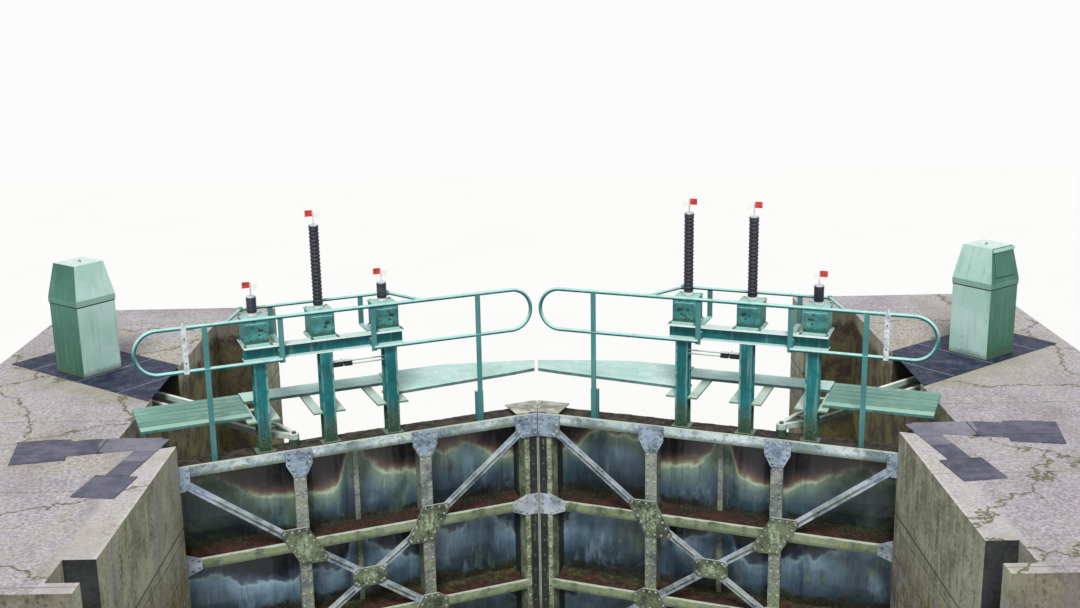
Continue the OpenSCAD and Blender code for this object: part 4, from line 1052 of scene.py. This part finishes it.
def inside_line(outline, inset, pitch):
    """Places about pitch apart on the outline drawn in by inset towards its middle: each corner
    moves along the sum of its two edges' inner normals, over one plus their cosine."""
    points = anticlockwise(outline)
    edge = np.roll(points, -1, 0) - points
    edge /= np.linalg.norm(edge, axis=1)[:, None]
    normal = np.stack([-edge[:, 1], edge[:, 0]], -1)
    before = np.roll(normal, 1, 0)
    corner = (normal + before) / (1 + np.sum(normal * before, 1))[:, None]
    ring = points + corner * inset
    places = []
    for a, b in zip(ring, np.roll(ring, -1, 0)):
        count = max(1, int(round(np.linalg.norm(b - a) / pitch)))
        share = np.arange(count)[:, None] / count
        places.append(a + (b - a) * share)
    return np.concatenate(places)


def on_face(line, v):
    """Places on the leaf's face at v, from their u and z."""
    return np.insert(np.asarray(line, float), 1, v, axis=1)


def column(u, v, low, high, pitch):
    """Places in a line up the leaf."""
    z = np.linspace(low, high, max(2, int(round((high - low) / pitch)) + 1))
    return on_face(np.stack([np.full(len(z), u), z], -1), v)


def dome(radius, height, sides):
    """A rivet head: steep at its rim, flatter over two rings of points and a fan to its crown."""
    side = turned(radius * np.array([1.0, 0.93, 0.62]), height * np.array([0.0, 0.45, 0.86]), sides)
    rim = [(radius * 0.62 * math.cos(t), radius * 0.62 * math.sin(t), height * 0.86)
           for t in np.arange(sides) * 2 * math.pi / sides]
    fan = [(0, 1 + k, 1 + (k + 1) % sides) for k in range(sides)]
    return side + Form([(0, 0, height)] + rim, fan)


def hexagon(radius, height):
    """A bolt head or nut with a chamfered top."""
    return turned([radius, radius, radius * 0.86], [0, height * 0.8, height], 6)


def rivet_places():
    """Every rivet on the downstream face of a leaf, in u, v and z."""
    rows = [column(u, 0.0, 0.12, LEAF_TOP - 0.05, pitch)
            for u, pitch in ((POST_U0 + RIVET_INSET, 0.13), (LEAF_L - 0.06, 0.2), (0.135, 0.13))]
    for name, at, v, over in plate_places():
        pitch = TEE_PITCH if name == "tee" else RIVET_PITCH
        line = inside_line(PLATES[name], RIVET_INSET, pitch)
        ring = placed(line, at, over)
        ring = ring[(ring[:, 0] > 0.03) & (ring[:, 0] < LEAF_L - 0.03)]
        rows.append(on_face(ring, v))
    free = 0.3
    for u in UPRIGHTS:
        rows.append(np.array([(u + du, STRAP_V, z + dz) for z in (RAILS[3], RAILS[5])
                              for du in (-0.045, 0.045) for dz in (-0.038, 0.038)]))
        for high, low in zip(RAILS[:-1], RAILS[1:]):
            for du in (-0.042, 0.042):
                rows.append(column(u + du, STRAP_V, low + free, high - free, 0.16))
    places = np.concatenate(rows)
    return places[covered(places)]


def covered(places):
    """Which places on the bare faces (v = 0 or -12 mm) no strap, gusset or brace bar hides."""
    rim, half_strap, half_bar, slack = 0.022, 0.095, 0.07, 0.001
    keep = np.ones(len(places), bool)
    for name, at, v, over in plate_places():
        outline = placed(np.array(PLATES[name], float), at, over)
        behind = places[:, 1] > v + slack
        keep &= ~(behind & inside(outline, places[:, [0, 2]], rim))
    for u in UPRIGHTS:
        keep &= ~((np.abs(places[:, 0] - u) < half_strap) & (places[:, 1] > -slack))
    for a, b in np.array(BRACES):
        length = np.linalg.norm(b - a)
        along = (b - a) / length
        rel = places[:, [0, 2]] - a
        t = rel @ along
        off = np.abs(rel[:, 0] * along[1] - rel[:, 1] * along[0])
        hidden = (off < half_bar) & (t > 0) & (t < length)
        keep &= ~(hidden & (places[:, 1] > STRAP_V - slack))
    return keep


def inside(outline, points, margin):
    """Whether each point lies in an outline or within a margin of its edge."""
    x, z = points[:, 0], points[:, 1]
    crossings = np.zeros(len(points), int)
    near = np.zeros(len(points), bool)
    for a, b in zip(outline, np.roll(outline, -1, 0)):
        spans = (a[1] > z) != (b[1] > z)
        rise = b[1] - a[1]
        cut = a[0] + (z - a[1]) / np.where(rise == 0, 1, rise) * (b[0] - a[0])
        crossings += spans & (x < cut)
        edge = b - a
        t = np.clip(((points - a) @ edge) / (edge @ edge), 0, 1)
        near |= np.linalg.norm(points - a - t[:, None] * edge, axis=1) < margin
    return (crossings % 2 == 1) | near


def braces_of(post, near, far):
    """Both ends of the brace bars on one half of a leaf, in u and z."""
    return [
        ((post, RAILS[0] - 0.03), (near, RAILS[1])), ((near, RAILS[1]), (far, RAILS[2])),
        ((near, RAILS[2]), (post, RAILS[3])), ((post, RAILS[3]), (near, RAILS[4])),
        ((near, RAILS[4]), (post, RAILS[5])),
    ]


BRACES = braces_of(0.09, *UPRIGHTS) + braces_of(LEAF_L - 0.09, *UPRIGHTS[::-1])


def clipped(outline, low, high):
    """The part of a convex outline between v = low and v = high."""
    for sign, limit in ((1, low), (-1, -high)):
        kept = []
        for a, b in zip(outline, outline[1:] + outline[:1]):
            da, db = sign * a[1] - limit, sign * b[1] - limit
            if da >= 0:
                kept.append(a)
            if da * db < 0:
                t = da / (da - db)
                kept.append((a[0] + t * (b[0] - a[0]), a[1] + t * (b[1] - a[1])))
        outline = kept
    return outline


def board(outline, low, high, edge):
    """A board over an outline in u and v: straight sides, then a rounded arris drawn in by edge
    as the height nears the top."""
    points = anticlockwise(outline)
    middle = points.mean(0)
    size = np.abs(points - middle).max(0)
    rings = []
    for inset, z in ((edge, low), (0, low + edge), (0, high - edge),
                     (edge * 0.3, high - edge * 0.3), (edge, high)):
        shrink = 1 - inset / size
        ring = middle + (points - middle) * shrink
        rings.append(np.concatenate([ring, np.full((len(points), 1), z)], 1))
    n = len(points)
    top = np.arange(n)[None] + 4 * n
    bottom = np.arange(n)[::-1][None]
    return Form(np.concatenate(rings), grid_faces(5, n, True), top, bottom)


def pleats(u, foot, height, count, radius, depth, sides):
    """Bellows: the radius goes in and out count times, r = radius - depth * share^1.3, where the
    share runs 1, 1/2, 0, 1/2 over the four steps of a pleat, with a flat cuff at each end."""
    steps = np.arange(count * 4 + 1)
    share = np.abs((steps % 4) / 2 - 1)
    radii = radius - depth * share ** 1.3
    cuff = 0.022
    heights = foot + cuff + (height - 2 * cuff) * steps / (count * 4)
    end = radius * np.array([0.9, 0.98, 0.98])
    radii = np.concatenate([end, radii, end[::-1]])
    heights = np.concatenate([[foot, foot + 0.003, foot + cuff - 0.002], heights,
                              [foot + height - cuff + 0.002, foot + height - 0.003, foot + height]])
    form = turned(radii, heights, sides)
    form.points = form.points + [u, SCREW_V, 0]
    return form


# ---------------------------------------------------------------- settings

class LeafSettings(PropertyGroup):
    rivet_radius: FloatProperty(name="Rivet radius", description="Radius of a rivet head",
                                default=0.0175, min=0.008, max=0.03, unit="LENGTH")
    rivet_height: FloatProperty(name="Rivet height", description="Height of a rivet head",
                                default=0.012, min=0.004, max=0.02, unit="LENGTH")
    board_width: FloatProperty(name="Board width", description="Width of one walkway board",
                               default=0.142, min=0.08, max=0.3, unit="LENGTH")
    board_gap: FloatProperty(name="Board gap", description="Gap between two boards", default=0.004,
                             min=0.001, max=0.02, unit="LENGTH")
    moss: FloatProperty(name="Moss", description="How far moss has spread over the frames",
                        default=0.06, min=-0.2, max=0.4, subtype="FACTOR")
    silt: FloatProperty(name="Silt", description="Height of the silt heaped against the skin",
                        default=0.07, min=0.01, max=0.2, unit="LENGTH")


class GearSettings(PropertyGroup):
    pleat_count: IntProperty(name="Pleats", description="Pleats in a raised bellows", default=20,
                             min=8, max=40)
    pleat_depth: FloatProperty(name="Pleat depth", description="Depth of a pleat", default=0.011,
                               min=0.004, max=0.03, unit="LENGTH")
    mint: FloatVectorProperty(name="Mint", description="Paint of the gear boxes", size=3,
                              subtype="COLOR", default=tint(84, 158, 152))
    teal: FloatVectorProperty(name="Teal", description="Paint of the posts, beam and rails", size=3,
                              subtype="COLOR", default=tint(8, 112, 116))


class StageSettings(PropertyGroup):
    lens: FloatProperty(name="Lens", description="Focal length of the camera", default=44.6, min=10,
                        max=200, unit="CAMERA")
    sun: FloatProperty(name="Sun", description="Strength of the sun", default=2.9, min=0, max=10)
    sky: FloatProperty(name="Sky", description="Strength of the soft light", default=0.45, min=0,
                       max=4)


# ---------------------------------------------------------------- operators

def dress(node, finish):
    """Gives a node of the model its finish in every slot."""
    slots = NODES[node].material_slots
    for slot in slots:
        slot.material = finish
    if not slots:
        NODES[node].data.materials.append(finish)


class LOCKHEAD_OT_masonry(Operator):
    """Weathers the walls, the floor, the hinges, the cover plates and the cabinets"""
    bl_idname = "lock_head.masonry"
    bl_label = "Weather the walls"

    def execute(self, context):
        stone = masonry("pier_stone", 0.36, 0.82, 0.95)
        floor = masonry("floor_stone", 0.5, 1.2, 0.0)
        for node in NODES:
            if node.endswith(("pier", "wall")):
                dress(node, stone)
        dress("lock_floor", floor)
        dress("pintles", plain_metal("pintle_steel", (52, 52, 50), (98, 98, 94), 0.7, 0.4))
        dress("collars", plain_metal("collar_steel", (58, 56, 54), (110, 108, 104), 0.5, 0.45))
        dress("anchor_plates", cover_steel())
        dress("pit_covers", chequer_plate("pit_plate"))
        dress("cabinets", cabinet_paint())
        return {"FINISHED"}


class LOCKHEAD_OT_leaf_paint(Operator):
    """Paints and weathers the frames, skins, rails, gear and struts of both leaves"""
    bl_idname = "lock_head.leaf_paint"
    bl_label = "Paint the leaves"

    def execute(self, context):
        leaf, gear = context.scene.lock_leaf, context.scene.lock_gear
        teal = tuple(gear.teal)
        finishes = {
            "heel_post": riveted_steel("heel_steel", leaf.moss + 0.02, (118, 126, 122)),
            "mitre_post": post_steel(),
            "rails": rail_steel(),
            "uprights": riveted_steel("strap_steel", leaf.moss - 0.03, (150, 156, 150)),
            "bracing": brace_steel(leaf.moss - 0.04),
            "skin": skin_steel(),
            "paddle_guides": riveted_steel("guide_steel", leaf.moss + 0.12, (84, 92, 84)),
            "brackets": gloss_paint("bracket_paint", tint(96, 150, 130), (196, 216, 204),
                                    (60, 110, 98), 0.02),
            "handrail": gloss_paint("rail_paint", teal, (178, 222, 214), (6, 80, 88), -0.05,
                                    extra=clip_and_posts, top_light=(-0.15, 0.5)),
            "gear_frame": gloss_paint("frame_paint", teal, (206, 230, 226), (4, 84, 90), -0.02,
                                      foot_z=COPING - 0.3, extra=pale_edges),
            "gear_boxes": gloss_paint("box_paint", tuple(gear.mint), (168, 214, 208),
                                      (52, 124, 124), 0.02, extra=base_plates),
            "strut": gloss_paint("strut_paint", tint(200, 216, 208), (236, 240, 236),
                                 (150, 178, 164), 0.03),
        }
        paddles = [paddle_paint("paddle_low", 0), paddle_paint("paddle_high", 1)]
        for side in SIDES:
            for part, finish in finishes.items():
                dress(f"{side}_{part}", finish)
            for k, up in enumerate(RAISED[side]):
                dress(f"{side}_paddle_{k + 1}", paddles[up])
        return {"FINISHED"}


class LOCKHEAD_OT_rivets(Operator):
    """Sets the rivets of the posts, straps and gussets on the downstream faces"""
    bl_idname = "lock_head.rivets"
    bl_label = "Set the rivets"

    def execute(self, context):
        leaf = context.scene.lock_leaf
        head = dome(leaf.rivet_radius, leaf.rivet_height, 8)
        places = rivet_places()
        finish = riveted_steel("rivet_steel", leaf.moss - 0.12, (158, 162, 164))
        for side in SIDES:
            leaf_piece(side, "rivets", [head.copies(places, FRONT)], finish, 1.0)
        return {"FINISHED"}


class LOCKHEAD_OT_boards(Operator):
    """Lays the painted walkway boards over the brackets"""
    bl_idname = "lock_head.boards"
    bl_label = "Lay the walkway"

    def execute(self, context):
        leaf = context.scene.lock_leaf
        low = DECK + 0.06
        high = low + 0.04
        tip_u = {v: LEAF_L + v * math.tan(MITRE) - 0.02 for v in (0.6, 0.92)}
        decks = {
            "heel": (oblong(-0.15, 0.31, 1.06, 1.15), leaf.board_width),
            "mid": (oblong(1.07, 0.86, 2.79, 1.2), 0.115),
            "tip": ([(2.8, 0.45), (LEAF_L - 0.09, 0.56), (tip_u[0.6], 0.6), (tip_u[0.92], 0.92),
                     (3.6, 1.25), (2.8, 1.25)], 0.27),
        }
        finish = walkway_boards_paint()
        for side in SIDES:
            forms = []
            for outline, width in decks.values():
                v = [p[1] for p in outline]
                count = max(1, int(round((max(v) - min(v)) / width)))
                lines = np.linspace(min(v), max(v), count + 1)
                for a, b in zip(lines[:-1], lines[1:]):
                    part = clipped(list(outline), a + leaf.board_gap / 2, b - leaf.board_gap / 2)
                    forms.append(board(part, low, high, 0.005))
            obj = leaf_piece(side, "boards", forms, finish)
            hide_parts(f"{side}_walkway")
        return {"FINISHED"}


class LOCKHEAD_OT_bellows(Operator):
    """Folds the rubber bellows over the screws, long where a paddle stands raised"""
    bl_idname = "lock_head.bellows"
    bl_label = "Fold the bellows"

    def execute(self, context):
        gear = context.scene.lock_gear
        finish = bellows_rubber("bellows_rubber")
        for side in SIDES:
            for k, (u, up) in enumerate(zip(GEARS, RAISED[side])):
                height = LOW + up * LIFT
                pleat = gear.pleat_depth if up else gear.pleat_depth * 0.8
                count = gear.pleat_count if up else LOW_PLEATS
                form = pleats(u, NECK_Z - LEAF_Z, height, count, 0.058, pleat, 28)
                obj = piece(f"{side}_pleats_{k + 1}", on_leaf(form, side), finish, None)
                smooth(obj, 1.2)
                foot = leaf_place((u, SCREW_V, NECK_Z - LEAF_Z), side)[0]
                if up:
                    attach(obj, f"{side}_leaf")
                    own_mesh(obj)
                else:
                    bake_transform(obj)
                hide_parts(f"{side}_bellows_{k + 1}")
        return {"FINISHED"}


class LOCKHEAD_OT_box_fittings(Operator):
    """Fits the lids, cover plates, bolts and collars of the gear boxes"""
    bl_idname = "lock_head.box_fittings"
    bl_label = "Fit the gear boxes"

    def execute(self, context):
        lid_low, lid_top, cover_t = BOX_Z + 0.262, BOX_Z + 0.284, 0.006
        nut = hexagon(0.011, 0.009)
        bolts, plates, handles, collars = [], [], [], []
        for u in GEARS:
            plates.append(board(oblong(u - 0.142, BOX_FRONT - 0.008, u + 0.142, SCREW_V + 0.133),
                                lid_low, lid_top, 0.004))
            cover = (u - 0.112, BOX_Z + 0.035, u + 0.112, BOX_Z + 0.235)
            plates.append(slab_front(cover, BOX_FRONT, cover_t))
            collar = turned([0.05, 0.062, 0.062, 0.056, 0.056, 0.05],
                            [0.0, 0.004, 0.016, 0.02, 0.034, 0.038], 24)
            collar.points = collar.points + [u, SCREW_V, lid_top]
            collars.append(collar)
            ring = inside_line(oblong(*cover), 0.016, 0.09)
            bolts.append(nut.copies(on_face(ring, BOX_FRONT - cover_t), FRONT))
            feet = [(u + a, b, BOX_Z) for a in (-0.145, 0.145) for b in (0.19, 0.24, 0.545)]
            bolts.append(hexagon(0.016, 0.014).copies(feet, np.eye(3)))
            lid = [(u + a, SCREW_V + b, lid_top) for a in (-0.118, 0.118) for b in (-0.165, 0.11)]
            bolts.append(hexagon(0.01, 0.008).copies(lid, np.eye(3)))
            bar = (u + 0.02, BOX_Z + 0.15, u + 0.075, BOX_Z + 0.163)
            lock = (u + 0.03, BOX_FRONT - cover_t, BOX_Z + 0.105)
            handles += [slab_front(bar, BOX_FRONT - cover_t, 0.02),
                        dome(0.012, 0.009, 12).copies([lock], FRONT)]
        box = NODES["left_gear_boxes"].material_slots[0].material
        zinc = plain_metal("collar_zinc", (176, 182, 184), (222, 226, 226), 0.3, 0.4)
        nuts = plain_metal("bolt_steel", (70, 74, 72), (142, 146, 142), 0.3, 0.4)
        slots = plain_metal("handle_steel", (24, 30, 32), (52, 62, 64), 0.2, 0.5)
        for side in SIDES:
            leaf_piece(side, "box_covers", plates, box, 0.7)
            leaf_piece(side, "box_bolts", bolts, nuts)
            leaf_piece(side, "box_collars", collars, zinc, 0.7)
            leaf_piece(side, "box_handles", handles, slots)
        return {"FINISHED"}


def oblong(a, b, c, d):
    """An upright oblong from (a, b) to (c, d), anticlockwise."""
    return [(a, b), (c, b), (c, d), (a, d)]


def slab_front(sides, v, depth):
    """A plate over an oblong of an upright face at v, depth thick and chamfered round its front."""
    a, b, c, d = sides
    cut = min(depth * 0.6, 0.004)
    rings = [(x, v - out, z) for inset, out in ((0, 0), (0, depth - cut), (cut, depth))
             for x, z in oblong(a + inset, b + inset, c - inset, d - inset)]
    return Form(rings, grid_faces(3, 4, True), [(8, 9, 10, 11)], [(3, 2, 1, 0)])


def value_noise(x, y, cell, seed):
    """Smooth numbers from 0 to 1 over a plane: random values at the corners of square cells,
    blended with 3t^2 - 2t^3 between them."""
    x, y = x / cell, y / cell
    i, j = np.floor(x).astype(int), np.floor(y).astype(int)
    a, b = x - i, y - j
    a, b = a * a * (3 - 2 * a), b * b * (3 - 2 * b)
    table = np.random.default_rng(seed).random((64, 64))
    corner = {(m, n): table[(i + m) % 64, (j + n) % 64] for m in (0, 1) for n in (0, 1)}
    low = corner[0, 0] * (1 - a) + corner[1, 0] * a
    high = corner[0, 1] * (1 - a) + corner[1, 1] * a
    return low * (1 - b) + high * b


def bank(u0, u1, z, full, seed):
    """Silt on one level web: thin at the front, heaped against the skin as the cube of the share
    of the depth, and lumpy; the rows of points run up, over and back under it."""
    front, back, step = 0.016, 0.384, 0.02
    u = np.linspace(u0, u1, max(8, int((u1 - u0) / step)))[:, None]
    share = np.linspace(0, 1, 18)[None, :]
    v = front + (back - front) * share
    lumps = (value_noise(u, v, 0.16, seed) * 0.5 + value_noise(u, v, 0.06, seed + 1) * 0.3
             + value_noise(u, v, 0.025, seed + 2) * 0.2)
    ends = 0.5 + 0.5 * np.abs(2 * (u - u0) / (u1 - u0) - 1) ** (6 if u1 - u0 < 2 else 40)
    height = full * (0.06 + lumps ** 2 * 0.5 + share ** 3 * (0.35 + lumps)) * ends
    over = np.stack(np.broadcast_arrays(u, v, z + height), -1)
    under = np.stack(np.broadcast_arrays(u, v[:, ::-1], z - 0.004), -1)
    ring = np.concatenate([over, under], 1)
    rows, cols = ring.shape[:2]
    caps = np.array([np.arange(cols)[::-1], np.arange(cols) + (rows - 1) * cols])
    return Form(ring, grid_faces(rows, cols, True)[:, ::-1], caps[:, ::-1])


class LOCKHEAD_OT_silt(Operator):
    """Heaps silt and moss on the level webs of the rails"""
    bl_idname = "lock_head.silt"
    bl_label = "Heap the silt"

    def execute(self, context):
        full = context.scene.lock_leaf.silt
        finish = silt()
        bays = ((0.172, UPRIGHTS[0] - 0.008), (UPRIGHTS[0] + 0.008, UPRIGHTS[1] - 0.008),
                (UPRIGHTS[1] + 0.008, POST_U0 - 0.002))
        for index, side in enumerate(SIDES):
            banks = []
            for row, z in enumerate(RAILS[:6]):
                depth = full * (0.45 if row == 0 else 1.0)
                for bay, (u0, u1) in enumerate(bays if row else ((0.172, POST_U0 - 0.002),)):
                    seed = 31 + row * 7 + bay * 3 + index * 100
                    banks.append(bank(u0, u1, z + 0.007, depth, seed))
            leaf_piece(side, "silt", banks, finish, 1.0)
        return {"FINISHED"}


class LOCKHEAD_OT_leaf_fittings(Operator):
    """Fits the rubber seals of the mitre, and the bolts of the flat bar and of the hand rail"""
    bl_idname = "lock_head.leaf_fittings"
    bl_label = "Fit seals and bolts"

    def execute(self, context):
        rubber = bellows_rubber("seal_rubber")
        dark = plain_metal("bar_bolts", (34, 38, 44), (70, 76, 82), 0.3, 0.5)
        bar_front = RAIL_V - TUBE_R - BAR_T
        for side, v in (("left", 0.1), ("right", 0.3)):
            face = LEAF_L + v * math.tan(MITRE)
            path = [(face, v, z) for z in np.linspace(0.01, LEAF_TOP, 12)]
            leaf_piece(side, "seal", [swept(path, 0.005, 10)], rubber)
            heads = dome(0.010, 0.005, 10).copies(
                [(BAR_U, bar_front, DECK + z) for z in (0.86, 1.13)], FRONT)
            leaf_piece(side, "bar_bolts", [heads], dark)
        return {"FINISHED"}


def on_cabinet(form, side):
    """A form drawn about a cabinet (x outward along the pit, y to the front, z up from its foot),
    put in its place."""
    points = form.points
    cos, sin = math.cos(PIT_TURN), math.sin(PIT_TURN)
    a, b = points[:, 0] + CABINET_S, points[:, 1] + CABINET_OUT
    x = PIN_WORLD[0] + a * cos - b * sin
    y = PIN_WORLD[1] + a * sin + b * cos
    moved = Form(np.stack([-SIDES[side] * x, y, points[:, 2] + CABINET_FOOT], -1), *form.faces)
    return moved.flipped() if side == "right" else moved


def hood_plate(a0, a1, z0, z1, low, high):
    """A plate on the leaning front of the hood, from low to high off its face: the face's y falls
    by the hood's lean as z goes from the rim to the top."""
    slope = HOOD_LEAN / (HOOD_H - HOOD_RIM)
    base = CABINET_HALF + 0.008
    points = []
    for off in (low, high):
        for z in (z0, z1):
            y = base - (z - HOOD_Z - HOOD_RIM) * slope + off
            points += [(a0, y, z + off * slope), (a1, y, z + off * slope)]
    return hexahedron(points)


class LOCKHEAD_OT_cabinet_fittings(Operator):
    """Fits a dark band under the hood painted as the shadow of its seam, a dark seam band at the
    foot, the lifting rings, and the flap with its rain lip and a dark outline painted as its
    shadow
    """
    bl_idname = "lock_head.cabinet_fittings"
    bl_label = "Fit the cabinets"

    @staticmethod
    def fit(side, part, forms, finish):
        """A piece that stays with the cabinet of one side."""
        form = on_cabinet(gather(forms), side)
        piece(f"{side}_{part}", form, finish, "lock_head")

    def execute(self, context):
        paint = NODES["cabinets"].material_slots[0].material
        dark = plain_metal("seam_shadow_and_ring_steel", (16, 38, 32), (34, 60, 50), 0.1, 0.6)
        lip = gloss_paint("lip_paint", tint(170, 206, 194), (206, 226, 220), (140, 182, 168), -0.05)
        half = CABINET_HALF + 0.0015
        for side in SIDES:
            # painted shadow: a dark band just under the hood stands for the shadow gap of its seam;
            # another dark band at the foot
            seams = [block((-half, -half, HOOD_Z - 0.016), (half, half, HOOD_Z - 0.002)),
                     block((-half, -half, 0.001), (half, half, 0.012))]
            half_turn = np.linspace(0, math.pi, 13)
            arch = np.stack([-0.03 + 0.022 * np.cos(half_turn), np.zeros(13),
                             HOOD_Z + 0.498 + 0.026 * np.sin(half_turn)], -1)
            seams.append(swept(arch, 0.005, 8))
            if side == "right":
                # painted shadow: a dark plate showing past the flap's left and bottom edges stands
                # for the flap's shadow
                seams.append(hood_plate(-0.186, 0.2, HOOD_Z + 0.125, HOOD_Z + 0.455, -0.004, 0.003))
                flap = hood_plate(-0.174, 0.202, HOOD_Z + 0.138, HOOD_Z + 0.456, 0.0, 0.006)
                rain = hood_plate(-0.212, 0.222, HOOD_Z + 0.448, HOOD_Z + 0.488, -0.004, 0.024)
                self.fit(side, "rain_lip", [rain], lip)
                self.fit(side, "hood_flap", [flap], paint)
            self.fit(side, "cabinet_shadow_bands_and_rings", seams, dark)
        return {"FINISHED"}


class LOCKHEAD_OT_stage(Operator):
    """Sets the pale floor, the soft light and the camera"""
    bl_idname = "lock_head.stage"
    bl_label = "Set the stage"

    def execute(self, context):
        stage = context.scene.lock_stage
        scene = context.scene
        p = Paint("stage_floor")
        soft = p.noise(0.2, 2, 0.5)
        colour = p.mix(soft, (0.86, 0.86, 0.85), (0.9, 0.9, 0.89))
        p.surface(colour, 0.9)
        corners = ((-1, -1), (1, -1), (1, 1), (-1, 1))
        floor = Form([(FLOOR_HALF * a, FLOOR_HALF * b, -0.002) for a, b in corners], [(0, 1, 2, 3)])
        piece("stage_floor", floor, p.material, None)

        world = bpy.data.worlds.new("soft_sky")
        scene.world = world
        world.use_nodes = True
        tree = Tree(world.node_tree)
        rays = world.node_tree.nodes.new("ShaderNodeLightPath").outputs
        seen, through, glossy = (Tone(tree, rays[f"Is {kind} Ray"])
                                 for kind in ("Camera", "Transmission", "Glossy"))
        sky = tree.node("ShaderNodeBackground", {}, {0: (0.93, 0.96, 1.0, 1), 1: stage.sky})
        back = tree.node("ShaderNodeBackground", {}, {0: (0.97, 0.97, 0.97, 1), 1: 1.0})
        both = tree.node("ShaderNodeMixShader", {},
                         {0: seen.most(through).most(glossy), 1: sky, 2: back})
        tree.node("ShaderNodeOutputWorld", {}, {"Surface": both})

        light = bpy.data.lights.new("soft_sun", "SUN")
        light.energy = stage.sun
        light.angle = math.radians(20)
        light.color = (1.0, 0.98, 0.95)
        lamp = bpy.data.objects.new("soft_sun", light)
        lamp.rotation_euler = Vector(SUN_WAY).to_track_quat("-Z", "Y").to_euler()
        scene.collection.objects.link(lamp)

        lens = bpy.data.cameras.new("camera")
        lens.lens = stage.lens
        lens.sensor_width = 36
        lens.clip_end = 200
        camera = bpy.data.objects.new("camera", lens)
        camera.matrix_world = Matrix.Translation(CAMERA_PLACE)
        for angle, axis in CAMERA_TURNS:
            turn = Matrix.Rotation(math.radians(angle), 4, axis)
            camera.matrix_world = camera.matrix_world @ turn
        scene.collection.objects.link(camera)
        scene.camera = camera
        scene.view_settings.view_transform = "Standard"
        return {"FINISHED"}


class LOCKHEAD_PT_panel(Panel):
    bl_label = "Lock Head"
    bl_space_type = "VIEW_3D"
    bl_region_type = "UI"
    bl_category = "Lock Head"

    def draw(self, context):
        for group in (context.scene.lock_leaf, context.scene.lock_gear, context.scene.lock_stage):
            box = self.layout.box()
            for name in group.bl_rna.properties.keys():
                if name not in ("rna_type", "name"):
                    box.prop(group, name)
        for operator in OPERATORS:
            self.layout.operator(operator.bl_idname)


OPERATORS = (LOCKHEAD_OT_stage, LOCKHEAD_OT_masonry, LOCKHEAD_OT_leaf_paint, LOCKHEAD_OT_rivets,
             LOCKHEAD_OT_silt, LOCKHEAD_OT_boards, LOCKHEAD_OT_bellows, LOCKHEAD_OT_box_fittings,
             LOCKHEAD_OT_leaf_fittings, LOCKHEAD_OT_cabinet_fittings)
CLASSES = (LeafSettings, GearSettings, StageSettings) + OPERATORS + (LOCKHEAD_PT_panel,)


def register():
    for item in CLASSES:
        bpy.utils.register_class(item)
    bpy.types.Scene.lock_leaf = PointerProperty(type=LeafSettings)
    bpy.types.Scene.lock_gear = PointerProperty(type=GearSettings)
    bpy.types.Scene.lock_stage = PointerProperty(type=StageSettings)


def unregister():
    del bpy.types.Scene.lock_stage
    del bpy.types.Scene.lock_gear
    del bpy.types.Scene.lock_leaf
    for item in reversed(CLASSES):
        bpy.utils.unregister_class(item)


def main():
    register()
    for operator in OPERATORS:
        group, name = operator.bl_idname.split(".")
        getattr(getattr(bpy.ops, group), name)()
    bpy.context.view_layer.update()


if __name__ == "__main__":
    main()
